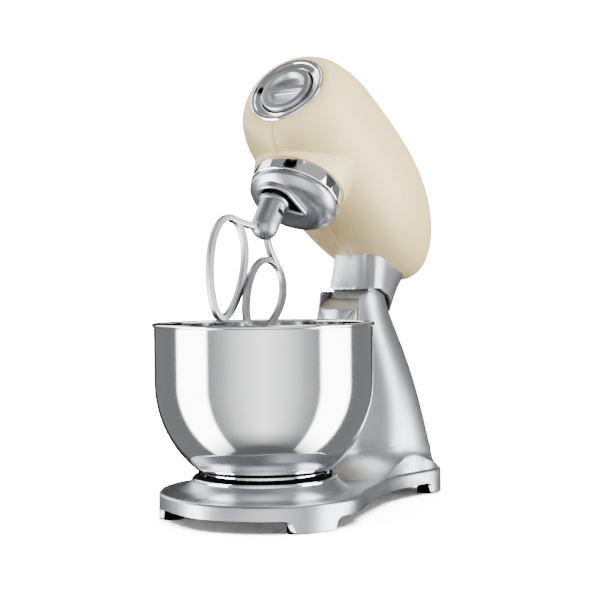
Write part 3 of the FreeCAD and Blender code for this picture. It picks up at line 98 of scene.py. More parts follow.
class Shader:
    """Builds a node tree from small steps."""

    def __init__(self, tree):
        self.nodes = tree.nodes
        self.links = tree.links

    def fill(self, node, inputs):
        for key, value in inputs.items():
            if isinstance(value, Field):
                self.links.new(value.socket, node.inputs[key])
            else:
                node.inputs[key].default_value = value

    def node(self, kind, settings, inputs, output=0):
        made = self.nodes.new(kind)
        for key, value in settings.items():
            setattr(made, key, value)
        self.fill(made, inputs)
        return Field(self, made.outputs[output])

    def ramp(self, amount, stops):
        """Grey level by amount, through (place, level) stops.

        Moving a stop sorts them, so the levels are set last.
        """
        level = self.node("ShaderNodeValToRGB", {}, {0: amount})
        band = level.socket.node.color_ramp
        for _ in stops[2:]:
            band.elements.new(0.5)
        for element, (place, _) in zip(band.elements, stops):
            element.position = place
        for element, (_, value) in zip(band.elements, stops):
            element.color = (value, value, value, 1)
        return level

    def window(self, amount, low, high):
        """1 where an amount from -1 to 1 lies between two limits, with soft ends."""
        stops = [(low - SOFT_END, 0.0), (low + SOFT_END, 1.0),
                 (high - SOFT_END, 1.0), (high + SOFT_END, 0.0)]
        return self.ramp(amount * 0.5 + 0.5, [(place * 0.5 + 0.5, level) for place, level in stops])

    def blend(self, amount, first, second):
        """Colour between two colours."""
        first, second = (c if isinstance(c, Field) else (*c, 1) for c in (first, second))
        return self.node("ShaderNodeMix", {"data_type": "RGBA"}, {0: amount, 6: first, 7: second}, 2)


class Look(Shader):
    """One procedural material."""

    def __init__(self, name):
        self.material = bpy.data.materials.new(name)
        self.material.use_nodes = True
        super().__init__(self.material.node_tree)
        self.surface = self.nodes["Principled BSDF"]

    def place(self, stretch):
        """Position in the part, in metres, stretched along each axis."""
        where = self.node("ShaderNodeTexCoord", {}, {}, "Object")
        return self.node("ShaderNodeVectorMath", {"operation": "MULTIPLY"}, {0: where, 1: stretch})

    def noise(self, scale, detail, stretch=EVEN):
        return self.node("ShaderNodeTexNoise", {},
                         {"Vector": self.place(stretch), "Scale": scale, "Detail": detail})

    def bump(self, height, strength, distance):
        return self.node("ShaderNodeBump", {},
                         {"Height": height, "Strength": strength, "Distance": distance})

    def finish(self, **inputs):
        self.fill(self.surface, {key.replace("_", " "): value for key, value in inputs.items()})
        return self.material


def paint(name, colour, shade, metallic, rough, coat, grain, peel):
    """Sprayed finish: faint colour drift, metallic grain and orange peel."""
    look = Look(name)
    drift = look.noise(scale=14.0, detail=2.0)
    fine = look.noise(scale=grain, detail=2.0)
    wave = look.noise(scale=420.0, detail=1.0)
    return look.finish(Base_Color=look.blend(drift * 0.6 + fine * 0.4, shade, colour), Metallic=metallic,
                       Roughness=fine * 0.10 + (rough - 0.05), Coat_Weight=coat, Coat_Roughness=0.04,
                       Normal=look.bump(wave, peel, distance=0.0003))


def metal(name, colour, shade, rough, smear, grain, stretch=EVEN):
    """Bare or plated metal with fine working marks and a few dull smears."""
    look = Look(name)
    lines = look.noise(scale=260.0, detail=3.0, stretch=stretch)
    patch = look.noise(scale=24.0, detail=3.0)
    return look.finish(Base_Color=look.blend(lines * 0.5 + patch * 0.5, shade, colour), Metallic=1.0,
                       Roughness=lines * smear + patch * smear + (rough - smear),
                       Normal=look.bump(lines, grain, distance=0.0002))


def moulded(name, colour, shade, rough, grain, shine=0.3):
    """Moulded plastic or rubber with a fine grain."""
    look = Look(name)
    fine = look.noise(scale=900.0, detail=2.0)
    broad = look.noise(scale=40.0, detail=3.0)
    return look.finish(Base_Color=look.blend(broad * 0.5 + fine * 0.5, shade, colour),
                       Roughness=broad * 0.12 + (rough - 0.06), Specular_IOR_Level=shine,
                       Normal=look.bump(fine, grain, distance=0.0003))


LOOKS = {
    "cream_paint": paint("cream paint", (0.87, 0.685, 0.315), (0.84, 0.655, 0.295),
                         metallic=0.0, rough=0.42, coat=0.22, grain=1500.0, peel=0.02),
    "silver_paint": paint("silver paint", (0.46, 0.48, 0.515), (0.39, 0.405, 0.43),
                          metallic=0.95, rough=0.31, coat=0.05, grain=2600.0, peel=0.05),
    "chrome": metal("chrome", (0.86, 0.87, 0.89), (0.80, 0.81, 0.83),
                    rough=0.05, smear=0.025, grain=0.01),
    "satin_chrome": metal("satin chrome", (0.50, 0.51, 0.53), (0.44, 0.45, 0.47),
                          rough=0.36, smear=0.05, grain=0.02),
    "bowl_steel": metal("polished steel", (0.76, 0.77, 0.79), (0.72, 0.73, 0.75),
                        rough=0.08, smear=0.02, grain=0.0, stretch=(1, 1, 14)),
    "beater_metal": metal("burnished aluminium", (0.38, 0.39, 0.41), (0.31, 0.32, 0.335),
                          rough=0.40, smear=0.07, grain=0.12, stretch=(3, 3, 1)),
    "rubber_black": moulded("black rubber", (0.004, 0.004, 0.004), (0.002, 0.002, 0.002),
                            rough=0.85, grain=0.3, shine=0.01),
    "plastic_black": moulded("black plastic", (0.035, 0.035, 0.037), (0.022, 0.022, 0.023),
                             rough=0.5, grain=0.2),
    "machine_steel": metal("machined steel", (0.56, 0.56, 0.57), (0.45, 0.45, 0.46),
                           rough=0.32, smear=0.08, grain=0.15, stretch=(1, 1, 9)),
    "chassis_metal": metal("cast alloy", (0.50, 0.51, 0.52), (0.38, 0.39, 0.40),
                           rough=0.5, smear=0.08, grain=0.4),
    "bush_bronze": metal("sintered bronze", (0.55, 0.37, 0.17), (0.42, 0.27, 0.11),
                         rough=0.4, smear=0.08, grain=0.2),
    "lamination": metal("varnished lamination", (0.23, 0.20, 0.18), (0.13, 0.11, 0.10),
                        rough=0.45, smear=0.08, grain=0.3, stretch=(40, 1, 1)),
    "board_green": moulded("circuit board", (0.03, 0.15, 0.07), (0.02, 0.10, 0.05),
                           rough=0.45, grain=0.1),
}
SLOTS = {s["node"]: s["material_slot"] for s in frame["record"]["subparts"]}

# Rounds on the CAD pieces that stay in sight, in millimetres
EDGES = {"base_casting": 0.7, "neck_collar": 0.7, "planetary_housing": 0.7, "bowl_foot": 0.5,
         "lever_trim": 0.6, "speed_lever": 0.6, "release_button": 0.8, "rubber_feet": 0.6,
         "cord_gland": 0.4}
EDGE_DEG = 38
EDGE_SEGMENTS = 3
WELD_M = 1e-5
CAD_SHARP_DEG = 32


def rounded_edges(obj, width):
    """Small rounds along the sharp edges of a CAD piece."""
    weld = obj.modifiers.new("weld", "WELD")
    weld.merge_threshold = WELD_M
    bevel = obj.modifiers.new("edges", "BEVEL")
    bevel.width = width * MM
    bevel.segments = EDGE_SEGMENTS
    bevel.limit_method = "ANGLE"
    bevel.angle_limit = math.radians(EDGE_DEG)
    bevel.harden_normals = True


for node, obj in frame["nodes"].items():
    obj.data.materials.clear()
    obj.data.materials.append(LOOKS[SLOTS[node]])
    for face in obj.data.polygons:
        face.use_smooth = True
    obj.data.set_sharp_from_angle(angle=math.radians(CAD_SHARP_DEG))
    if node in EDGES:
        rounded_edges(obj, EDGES[node])


# Mesh building

MERGE_M = 1e-6
CORNER_SHARE = 0.45    # a corner's round takes up no more than this share of the lines beside it


def piece(name, nodes, points, faces, matrix, sharp_deg=35.0, slot=None, look=None):
    """New visible piece on a CAD node's body: in the node's place, or beside it in a slot of its own."""
    mesh = bpy.data.meshes.new(name)
    mesh.from_pydata([matrix @ Vector(p) for p in points], [], faces)
    shape = bmesh.new()
    shape.from_mesh(mesh)
    bmesh.ops.remove_doubles(shape, verts=shape.verts, dist=MERGE_M)
    bmesh.ops.recalc_face_normals(shape, faces=shape.faces)
    shape.to_mesh(mesh)
    shape.free()
    mesh.materials.append(LOOKS[look or slot or SLOTS[nodes[0]]])
    mesh.shade_smooth()
    mesh.set_sharp_from_angle(angle=math.radians(sharp_deg))
    made = bpy.data.objects.new(name, mesh)
    bpy.context.scene.collection.objects.link(made)
    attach(made, frame["nodes"][nodes[0]]["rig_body"])
    if slot is None:
        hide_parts(*nodes)
    return made


def sheet(rows, closed=False):
    """Points and faces of a surface through rows of equal length."""
    width = len(rows[0])
    points = [p for row in rows for p in row]
    faces = []
    for i in range(len(rows) - 1):
        for j in range(width if closed else width - 1):
            k = (j + 1) % width
            faces.append((i * width + j, i * width + k, (i + 1) * width + k, (i + 1) * width + j))
    return points, faces


def joined(*sheets):
    """Several surfaces as one."""
    points, faces = [], []
    for more_points, more_faces in sheets:
        faces += [tuple(i + len(points) for i in f) for f in more_faces]
        points += more_points
    return points, faces


def flipped(points, faces):
    """The same piece on the other side of the mixer."""
    return [(x, -y, z) for x, y, z in points], faces


def along(points, share):
    """Smooth curve through points of even spacing, at a share of its length."""
    place = share * (len(points) - 1)
    index = min(int(place), len(points) - 2)
    t = place - index
    a, b, c, d = (Vector(points[max(0, min(len(points) - 1, index + k))]) for k in (-1, 0, 1, 2))
    return tuple(0.5 * (2 * b + (c - a) * t + (2 * a - 5 * b + 4 * c - d) * t ** 2
                        + (3 * b - a - 3 * c + d) * t ** 3))


def soften(profile, radius, steps=5):
    """Profile with each inner corner replaced by a small round."""
    done = [profile[0]]
    for before, here, after in zip(profile, profile[1:], profile[2:]):
        here = Vector(here)
        back = Vector(before) - here
        on = Vector(after) - here
        reach = min(radius, back.length * CORNER_SHARE, on.length * CORNER_SHARE)
        start = here + back.normalized() * reach
        end = here + on.normalized() * reach
        for step in range(steps + 1):
            share = step / steps
            bend = start * (1 - share) ** 2 + here * 2 * share * (1 - share) + end * share ** 2
            done.append(tuple(bend))
    return done + [profile[-1]]


def lathe(profile, steps, nose_z=None):
    """Turned piece from (radius, place) pairs, about the bowl's axis or a level axis at a height."""
    turns = [2 * math.pi * i / steps for i in range(steps)]
    rows = []
    for r, h in profile:
        if nose_z is None:
            rows.append([(r * math.cos(a), r * math.sin(a), h) for a in turns])
        else:
            rows.append([(h, r * math.cos(a), nose_z + r * math.sin(a)) for a in turns])
    return sheet(rows, closed=True)


# Head shells

NOSE_X, NOSE_R, NOSE_Z = 73.0, 43.0, 312.4
TOP_Z, TOP_X, TOP_FALL = 381.9, -52.6, 5.26
HALF_W, WIDE_X, WIDE_FALL = 75.2, -101.0, 4.6
FLOOR_Z = 247.0
TAIL_X, TAIL_Z = -244.6, 318.4
NOSE_START, NOSE_POWER = 15.3, 2.19
TAIL_START, TAIL_POWER = -60.8, 2.32
HEAD_POWER = 2.2
NOSE_BLEND, NOSE_ROUNDER = 9.0, 0.2      # the nose ends rounder: over this stretch, by this power
NOSE_SEAT = [(-7.0, 41.56), (-0.5, 41.56), (0.15, 42.0)]           # step from the nose's end, radius
NOSE_STEPS, MIDDLE_STEPS, TAIL_STEPS = 30, 18, 45
SIDE_DEG, SIDE_STEP_DEG = 86, 4
SEAM_HALF = 0.40
SEAM_EDGE = [(0.0, 2.5), (0.0, 0.55), (0.14, 0.16), (0.55, 0.0)]   # step from the joint, depth
SEAM_WIDE_SHARE, SEAM_DEEP_SHARE = 0.3, 0.5    # the seam's edge shrinks with the section at the tail
MOUTH_R, MOUTH_TOP = 48.9, 300.0
NECK_BACK, NECK_FRONT, NECK_HALF, NECK_TOP = -184.0, -146.0, 23.0, 275.0
LEVER_BACK, LEVER_FRONT, LEVER_HALF, LEVER_LOW = -92.0, -24.0, 2.4, 360.0
BOSS = [(49.6, 246.0), (50.9, 254.0), (53.3, 262.0), (57.2, 271.0), (61.4, 280.0)]
BOSS_EDGE = [(46.6, 248.5), (46.6, 246.5), (46.9, 246.05), (49.2, 246.0), (49.55, 246.15)]
BOSS_STEPS, BOSS_TURN_STEPS = 24, 90


def head_stations():
    """Places along the head as X, how full the head is there, and 1 in the nose or -1 in the tail."""
    stations = []
    for step in range(NOSE_STEPS + 1):
        angle = math.radians(90 - 90 * step / NOSE_STEPS)
        share = math.sin(angle) ** (2 / NOSE_POWER)
        x = NOSE_START + share * (NOSE_X - NOSE_START)
        stations.append((x, math.cos(angle) ** (2 / NOSE_POWER), 1))
    for step in range(1, MIDDLE_STEPS):
        stations.append((NOSE_START + (TAIL_START - NOSE_START) * step / MIDDLE_STEPS, 1.0, 0))
    for step in range(TAIL_STEPS + 1):
        angle = math.radians(90 * step / TAIL_STEPS)
        share = math.sin(angle) ** (2 / TAIL_POWER)
        stations.append((TAIL_START + share * (TAIL_X - TAIL_START), math.cos(angle), -1))
    return stations


def head_size(x, full, end):
    """Half width, top and underside of the head at a station."""
    top = TOP_Z - TOP_FALL * ((x - TOP_X) / 100) ** 2
    half = HALF_W - WIDE_FALL * ((x - WIDE_X) / 100) ** 2
    if end > 0:
        return (NOSE_R + (half - NOSE_R) * full, NOSE_Z + NOSE_R + (top - NOSE_Z - NOSE_R) * full,
                NOSE_Z - NOSE_R + (FLOOR_Z - NOSE_Z + NOSE_R) * full)
    if end < 0:
        return half * full, TAIL_Z + (top - TAIL_Z) * full, TAIL_Z + (FLOOR_Z - TAIL_Z) * full
    return half, top, FLOOR_Z


def head_row(x, half, top, low, power):
    """Half section from the chin seam round to the crown seam, with rounded seam edges."""
    middle = (top + low) / 2
    rise = (top - low) / 2
    side = []
    for angle in range(-SIDE_DEG, SIDE_DEG + 1, SIDE_STEP_DEG):
        cosine = math.cos(math.radians(angle)) ** (2 / power)
        sine = abs(math.sin(math.radians(angle))) ** (2 / power)
        side.append((x, max(half * cosine, SEAM_HALF), middle + math.copysign(rise * sine, angle)))
    edges = []
    for step, depth in SEAM_EDGE:
        y = min(SEAM_HALF + step, max(half * SEAM_WIDE_SHARE, SEAM_HALF))
        height = rise * max(0.0, 1 - (y / max(half, 1)) ** power) ** (1 / power)
        edges.append((y, height - min(depth, rise * SEAM_DEEP_SHARE)))
    chin = [(x, y, middle - reach) for y, reach in edges]
    crown = [(x, y, middle + reach) for y, reach in reversed(edges)]
    return chin + side + crown


def open_in_shell(points):
    """True where the shell is cut away for the drive, the neck and the lever."""
    x, y, z = (sum(p[k] for p in points) / len(points) for k in range(3))
    mouth = z < MOUTH_TOP and math.hypot(x, y) < MOUTH_R
    neck = z < NECK_TOP and NECK_BACK < x < NECK_FRONT and y < NECK_HALF
    lever = z > LEVER_LOW and LEVER_BACK < x < LEVER_FRONT and y < LEVER_HALF
    return mouth or neck or lever


def head_half():
    """Left half of the head, from the seat of the front ring to the tail."""
    rows = []
    for step, radius in NOSE_SEAT:
        rows.append(head_row(NOSE_X + step, radius, NOSE_Z + radius, NOSE_Z - radius, 2.0))
    for x, full, end in head_stations():
        near_nose = max(0.0, min(1.0, (x - NOSE_X + NOSE_BLEND) / NOSE_BLEND))
        rows.append(head_row(x, *head_size(x, full, end), HEAD_POWER - NOSE_ROUNDER * near_nose))
    points, faces = sheet(rows)
    faces = [f for f in faces if not open_in_shell([points[i] for i in f])]
    return points, faces


def boss_half():
    """Flare of the shell down to the chrome band."""
    curve = [along(BOSS, step / BOSS_STEPS) for step in range(1, BOSS_STEPS + 1)]
    turns = [math.pi * i / BOSS_TURN_STEPS for i in range(BOSS_TURN_STEPS + 1)]
    rows = []
    for r, z in BOSS_EDGE + curve:
        rows.append([(r * math.cos(a), max(r * math.sin(a), SEAM_HALF), z) for a in turns])
    return sheet(rows)


left_shell = joined(head_half(), boss_half())
shells = [piece("head_shell_left_skin", ["head_shell_left"], *left_shell, HEAD, 40),
          piece("head_shell_right_skin", ["head_shell_right"], *flipped(*left_shell), HEAD, 40)]


# Bowl and its seat

BOWL_STEPS = 160
BEND_STEPS = 40
RIM_START_DEG, RIM_SWEEP_DEG, RIM_STEPS = -86, 307, 24


def bowl_profile():
    """Floor and outer wall upwards, rolled rim, then the inside down to the floor."""
    wall, roll, rim_z, thick = 108.5, 2.0, 191.3, 1.5
    bend_z, bend_r, floor_z, floor_round = 135.0, 112.0, 47.0, 2.5
    bend_middle = wall - bend_r
    inner_r = bend_r - thick
    low = math.asin((bend_z - floor_z) / bend_r)
    inner_low = math.asin((bend_z - floor_z - thick) / inner_r)
    outer = [(bend_middle + bend_r * math.cos(a), bend_z - bend_r * math.sin(a))
             for a in (low * (1 - i / BEND_STEPS) for i in range(BEND_STEPS + 1))]
    inner = [(bend_middle + inner_r * math.cos(a), bend_z - inner_r * math.sin(a))
             for a in (inner_low * i / BEND_STEPS for i in range(BEND_STEPS + 1))]
    rim = []
    for i in range(RIM_STEPS + 1):
        angle = math.radians(RIM_START_DEG + RIM_SWEEP_DEG * i / RIM_STEPS)
        rim.append((wall + roll * math.cos(angle), rim_z + roll * math.sin(angle)))
    base = soften([(0.0, floor_z), (outer[0][0], floor_z), outer[1]], floor_round)
    return base + outer[2:] + rim + inner + [(0.0, floor_z + thick)]


piece("bowl_skin", ["bowl"], *lathe(bowl_profile(), BOWL_STEPS), STAND, 40)

SEAT = [(48.0, 40.1), (48.0, 38.5), (72.0, 38.5), (72.0, 40.4), (71.3, 41.2), (70.2, 41.6), (65.2, 41.6),
        (65.2, 40.1), (48.0, 40.1)]
SEAT_ROUND, SHADOW_RING_ROUND = 0.5, 0.4
# Black ring in the gap between the bowl's foot and the seat ring: painted shade for the shadow in that
# gap
SEAT_SHADOW_RING = [(65.25, 41.0), (65.25, 44.9), (66.6, 44.9), (66.6, 41.0), (65.25, 41.0)]
HOOK_IN_R, HOOK_OUT_R, HOOK_LOW, HOOK_TOP = 62.2, 65.3, 43.3, 44.1
HOOK_HALF_DEG, HOOK_STEPS = 12, 8
HOOK_PLACES_DEG = (45, 135, 225, 315)


def hook(middle_deg):
    """One bayonet hook under the lip of the seat ring."""
    corners = [(HOOK_IN_R, HOOK_LOW), (HOOK_OUT_R, HOOK_LOW),
               (HOOK_OUT_R, HOOK_TOP), (HOOK_IN_R, HOOK_TOP)]
    rows = []
    for step in range(HOOK_STEPS + 1):
        turn = math.radians(middle_deg + HOOK_HALF_DEG * (2 * step / HOOK_STEPS - 1))
        rows.append([(r * math.cos(turn), r * math.sin(turn), z) for r, z in corners])
    points, faces = sheet(rows, closed=True)
    return points, faces + [(0, 1, 2, 3), tuple(range(len(points) - 4, len(points)))]


hooks = [hook(place) for place in HOOK_PLACES_DEG]
seat_ring = joined(lathe(soften(SEAT, SEAT_ROUND), BOWL_STEPS), *hooks)
piece("bowl_seat_ring_skin", ["bowl_seat_ring"], *seat_ring, STAND, 45)
# The black ring paints the shade in the gap under the bowl's foot
shadow_ring = lathe(soften(SEAT_SHADOW_RING, SHADOW_RING_ROUND), BOWL_STEPS)
piece("seat_shadow_ring", ["bowl_seat_ring"], *shadow_ring, STAND, 45, "rubber_black")


# Turned trim

TRIM_STEPS = 144
RING_ROUND, BAND_ROUND = 0.9, 0.5
RING = [(29.4, 64.0), (41.5, 64.0), (41.5, 72.6), (41.2, 74.1), (40.4, 75.1), (39.2, 75.6), (37.8, 75.5),
        (36.6, 74.9), (35.6, 74.1), (30.4, 72.5), (29.4, 71.6), (29.4, 64.0)]
BAND = [(44.6, 238.0), (44.6, 231.6), (47.0, 230.6), (48.0, 231.6), (48.0, 245.4), (47.4, 246.0),
        (44.6, 246.0), (44.6, 238.0)]
front_ring = lathe(soften(RING, RING_ROUND), TRIM_STEPS, NOSE_Z)
piece("front_ring_skin", ["front_trim_ring"], *front_ring, HEAD, 50)
piece("planetary_band_skin", ["planetary_band"], *lathe(soften(BAND, BAND_ROUND), TRIM_STEPS), HEAD, 50)


# Cover of the front outlet

COVER_R, COVER_BACK, COVER_FACE, FACE_R = 27.9, 69.2, 76.5, 25.6
COVER_EDGE = [(FACE_R, COVER_FACE), (26.4, 76.4), (27.1, 76.05), (27.6, 75.5), (COVER_R, 74.6),
              (COVER_R, COVER_BACK), (15.0, COVER_BACK)]
COVER_STEPS, ARC_STEPS, CHORD_STEPS = 128, 64, 24
POCKET_R, GRIP_HALF = 21.5, 2.4
POCKET_DEEPEST = 6.0   # height above the cover's middle
POCKET_STEPS = [(1.0, 0.0), (0.99, 0.3), (0.96, 1.5), (0.90, 3.0), (0.80, 4.3), (0.65, 5.2), (0.40, 5.6),
                (0.0, 5.6)]                    # size of the outline, depth


def half_disc(radius, low, scale=1.0):
    """Outline of the part of a disc above a level, drawn in towards the deepest place of a pocket."""
    start = math.asin(low / radius)
    turns = [start + (math.pi - 2 * start) * k / ARC_STEPS for k in range(ARC_STEPS + 1)]
    outline = [(radius * math.cos(a), radius * math.sin(a)) for a in turns]
    reach = radius * math.cos(start)
    outline += [(reach * (2 * k / CHORD_STEPS - 1), low) for k in range(1, CHORD_STEPS)]
    return [(y * scale, POCKET_DEEPEST + (z - POCKET_DEEPEST) * scale) for y, z in outline]


def outlet_cover():
    """Round cover with a narrow grip between two hollows."""
    rows = [[(COVER_FACE, y, z) for y, z in half_disc(FACE_R, 0.0)]]
    for scale, depth in POCKET_STEPS:
        rows.append([(COVER_FACE - depth, y, z) for y, z in half_disc(POCKET_R, GRIP_HALF, scale)])
    points, faces = sheet(rows, closed=True)
    upper = [(x, y, NOSE_Z + z) for x, y, z in points], faces
    lower = [(x, y, NOSE_Z - z) for x, y, z in points], faces
    return joined(upper, lower, lathe(COVER_EDGE, COVER_STEPS, NOSE_Z))


piece("hub_cover_skin", ["hub_cover"], *outlet_cover(), HEAD, 42, look="satin_chrome")


# Beater, about its own shaft

ORBIT_R, ORBIT_DEG, BEATER_DEG = 22.5, -9.0, -11.4
ORBIT_TURN = math.radians(ORBIT_DEG)
ORBIT = Vector((ORBIT_R * math.cos(ORBIT_TURN), ORBIT_R * math.sin(ORBIT_TURN), 0))
BEATER = HEAD @ Matrix.Translation(ORBIT) @ Matrix.Rotation(math.radians(BEATER_DEG), 4, "Z")
BAR_HALF, BAR_POWER, BAR_STEPS = 3.2, 9.0, 24
LOOP_X, LOOP_Z, LOOP_HALF_W, LOOP_HALF_H = 26.0, 107.7, 23.0, 52.3
LOOP_EGG, LOOP_LEAN_DEG, LOOP_PITCH_Z = 0.177, 13.8, 129.2
LOOP_PITCH_DEG = (4.7, 17.0)
LOOP_STEPS, ARM_STEPS = 96, 12
ARM = [(7.0, 170.7), (20.0, 164.6), (40.0, 157.0)]     # starts clear of the shaft in the hub
HUB_R, HUB_BALL_Z, BORE_R = 14.0, 177.0, 8.0
HUB_SIDE = [(14.0, 190.6), (14.0, 195.4), (14.0, 199.1), (14.0, 203.2), (14.4, 203.5), (15.3, 203.6),
            (15.8, 204.2), (15.8, 206.8), (15.2, 207.5), (6.1, 207.5)]
BALL_STEPS, HUB_STEP_DEG = 16, 6
SLOT_LOW, SLOT_SHELF, SLOT_TOP = 190.6, 195.4, 199.1
SLOT_TURN_DEG, SLOT_HALF_DEG = 35.0, 9.9


def superellipse(angle, power):
    """Point of a square with round corners, or of a circle when the power is 2."""
    c, s = math.cos(angle), math.sin(angle)
    return math.copysign(abs(c) ** (2 / power), c), math.copysign(abs(s) ** (2 / power), s)


def bar(path, closed):
    """Square bar with round edges along a path that lies near the XZ plane."""
    ring = [superellipse(2 * math.pi * k / BAR_STEPS, BAR_POWER) for k in range(BAR_STEPS)]
    last = len(path) - 1
    rows = []
    for index, here in enumerate(path):
        before = path[index - 1] if closed or index else here
        after = path[(index + 1) % len(path)] if closed or index < last else here
        run = (after - before).normalized()
        side = run.cross(Vector((0, 1, 0))).normalized()
        wide = side.cross(run)
        rows.append([here + (side * a + wide * b) * BAR_HALF for a, b in ring])
    if closed:
        rows.append(rows[0])
    return sheet(rows, closed=True)


def beater_side(pitch_deg, hand):
    """One leaning, twisted loop and its arm, on the +X side or mirrored."""
    lean = math.radians(LOOP_LEAN_DEG)
    pitch = math.radians(pitch_deg)
    loop = []
    for step in range(LOOP_STEPS):
        angle = 2 * math.pi * step / LOOP_STEPS
        across = LOOP_HALF_W * math.cos(angle) * (1 + LOOP_EGG * math.sin(angle))
        along_loop = LOOP_HALF_H * math.sin(angle)
        x = LOOP_X + across * math.cos(lean) + along_loop * math.sin(lean)
        rise = LOOP_Z - across * math.sin(lean) + along_loop * math.cos(lean) - LOOP_PITCH_Z
        loop.append(Vector((x * hand, -rise * math.sin(pitch), LOOP_PITCH_Z + rise * math.cos(pitch))))
    arm = []
    for step in range(ARM_STEPS + 1):
        share = step / ARM_STEPS
        x, z = along(ARM, share)
        arm.append(Vector((x * hand, share * math.tan(pitch) * (LOOP_PITCH_Z - z), z)))
    return joined(bar(loop, True), bar(arm, False))


def in_slot(angle_deg, z):
    """True inside the bayonet slots: locking leg, shelf and entry."""
    turn = (angle_deg - 90) % 180
    leg = min(turn, 180 - turn) < SLOT_HALF_DEG and z < SLOT_TOP
    shelf = turn < SLOT_TURN_DEG and z < SLOT_SHELF
    entry = abs(turn - SLOT_TURN_DEG) < SLOT_HALF_DEG
    return z > SLOT_LOW and (leg or shelf or entry)


def beater_hub():
    """Ball-ended hub with a flange; the slots are left open down to the bore."""
    profile = []
    for k in range(BALL_STEPS + 1):
        rise = math.pi / 2 * k / BALL_STEPS
        profile.append((HUB_R * math.sin(rise), HUB_BALL_Z - HUB_R * math.cos(rise)))
    profile += HUB_SIDE
    breaks = [SLOT_HALF_DEG, SLOT_TURN_DEG - SLOT_HALF_DEG, SLOT_TURN_DEG + SLOT_HALF_DEG,
              180 - SLOT_HALF_DEG]
    cuts = [90 + b + half_turn for b in breaks for half_turn in (-180, 0, 180)]
    angles = sorted(set(range(0, 360, HUB_STEP_DEG)) | {cut for cut in cuts if 0 < cut < 360})
    count = len(angles)
    points, faces = [], []

    def spot(row, column, radius=None):
        r, z = profile[row]
        turn = math.radians(angles[column % count])
        return Vector((math.cos(turn) * (radius or r), math.sin(turn) * (radius or r), z))

    def is_open(row, column):
        after = angles[column + 1] if column + 1 < count else angles[0] + 360
        return in_slot((angles[column] + after) / 2, (profile[row][1] + profile[row + 1][1]) / 2)

    def add_face(*corners):
        faces.append(tuple(range(len(points), len(points) + len(corners))))
        points.extend(corners)

    for row in range(len(profile) - 1):
        for column in range(count):
            corners = [(row, column), (row, column + 1), (row + 1, column + 1), (row + 1, column)]
            if not is_open(row, column):
                add_face(*(spot(*c) for c in corners))
                continue
            beside = [(row - 1, column), (row, (column + 1) % count),
                      (row + 1, column), (row, column - 1)]
            for near, far, other in zip(corners, corners[1:] + corners[:1], beside):
                if other[0] < len(profile) - 1 and not is_open(*other):
                    add_face(spot(*near), spot(*far), spot(*far, BORE_R), spot(*near, BORE_R))
    return points, faces


near_loop, far_loop = (beater_side(pitch, hand) for pitch, hand in zip(LOOP_PITCH_DEG, (1, -1)))
piece("flat_beater_skin", ["flat_beater"], *joined(beater_hub(), near_loop, far_loop), BEATER, 40)


# Black lining that paints the shade inside the recess round the beater shaft, and the recess's lip

TEAR_R, TEAR_TIP_R, TEAR_TIP_REACH, TEAR_TIP_DEG = 16.1, 1.8, 30.8, 155.5
TEAR_STEPS, TEAR_TIP_STEPS = 60, 12
LINING_LOW, LINING_FLOOR, LINING_LIP = 213.6, 218.35, 217.4
LINING_RINGS = [(9.0, LINING_FLOOR), (8.0, LINING_LIP), (6.3, LINING_LIP)]
LIP_OUT, LIP_R, LIP_Z, LIP_STEPS = 1.5, 2.1, 213.6, 16


def teardrop():
    """Points of the recess outline about the beater shaft, each with its outward direction."""
    turn = math.radians(ORBIT_DEG + TEAR_TIP_DEG)
    tip = Vector((math.cos(turn), math.sin(turn), 0)) * TEAR_TIP_REACH
    spread = math.acos((TEAR_R - TEAR_TIP_R) / TEAR_TIP_REACH)
    outline = []
    for step in range(TEAR_STEPS + 1):
        angle = turn + spread + (2 * math.pi - 2 * spread) * step / TEAR_STEPS
        out = Vector((math.cos(angle), math.sin(angle), 0))
        outline.append((ORBIT + out * TEAR_R, out))
    for step in range(TEAR_TIP_STEPS + 1):
        angle = turn - spread + 2 * spread * step / TEAR_TIP_STEPS
        out = Vector((math.cos(angle), math.sin(angle), 0))
        outline.append((ORBIT + tip + out * TEAR_TIP_R, out))
    return outline


def shaded_recess_lining():
    """Black lining that paints the shade inside the recess, with a lip on the shaft."""
    outline = [p for p, _ in teardrop()]
    rows = [[p + Vector((0, 0, z)) for p in outline] for z in (LINING_LOW, LINING_FLOOR)]
    for radius, z in LINING_RINGS:
        rows.append([ORBIT + (p - ORBIT).normalized() * radius + Vector((0, 0, z)) for p in outline])
    return sheet(rows, closed=True)


def wall_lip():
    """Round lip along the raised wall of the recess."""
    rows = []
    for step in range(LIP_STEPS + 1):
        turn = 2 * math.pi * step / LIP_STEPS
        reach = LIP_OUT + LIP_R * math.cos(turn)
        height = Vector((0, 0, LIP_Z + LIP_R * math.sin(turn)))
        rows.append([p + out * reach + height for p, out in teardrop()])
    return sheet(rows, closed=True)


# A black sheet over the recess floor stands in for the shade inside the recess
piece("recess_shade_lining", ["planetary_housing"], *shaded_recess_lining(), HEAD, 40, "rubber_black")
piece("recess_lip", ["planetary_housing"], *wall_lip(), HEAD, 40, SLOTS["planetary_housing"])


# Stage, in metres

FLOOR = 30.0           # half the floor's width, and the radius of the wall
WALL_H = 30.0
WALL_STEPS = 48
WHITE = 28.0
BOUNCE, BOUNCE_Z = 9.0, -0.002


def stage_mesh(name, points, faces, material):
    mesh = bpy.data.meshes.new(name)
    mesh.from_pydata(points, [], faces)
    mesh.materials.append(material)
    made = bpy.data.objects.new(name, mesh)
    bpy.context.scene.collection.objects.link(made)
    return made


def square(half, z):
    """One flat face about the middle."""
    return [(-half, -half, z), (half, -half, z), (half, half, z), (-half, half, z)], [(0, 1, 2, 3)]


def pale_floor():
    look = Look("floor")
    drift = look.noise(scale=3.0, detail=2.0)
    colour = look.blend(drift, (0.94, 0.94, 0.94), (0.96, 0.96, 0.96))
    return look.finish(Base_Color=colour, Roughness=0.9)


def glowing(name, strength):
    look = Look(name)
    return look.finish(Base_Color=(0, 0, 0, 1), Emission_Color=(1, 1, 1, 1), Emission_Strength=strength)


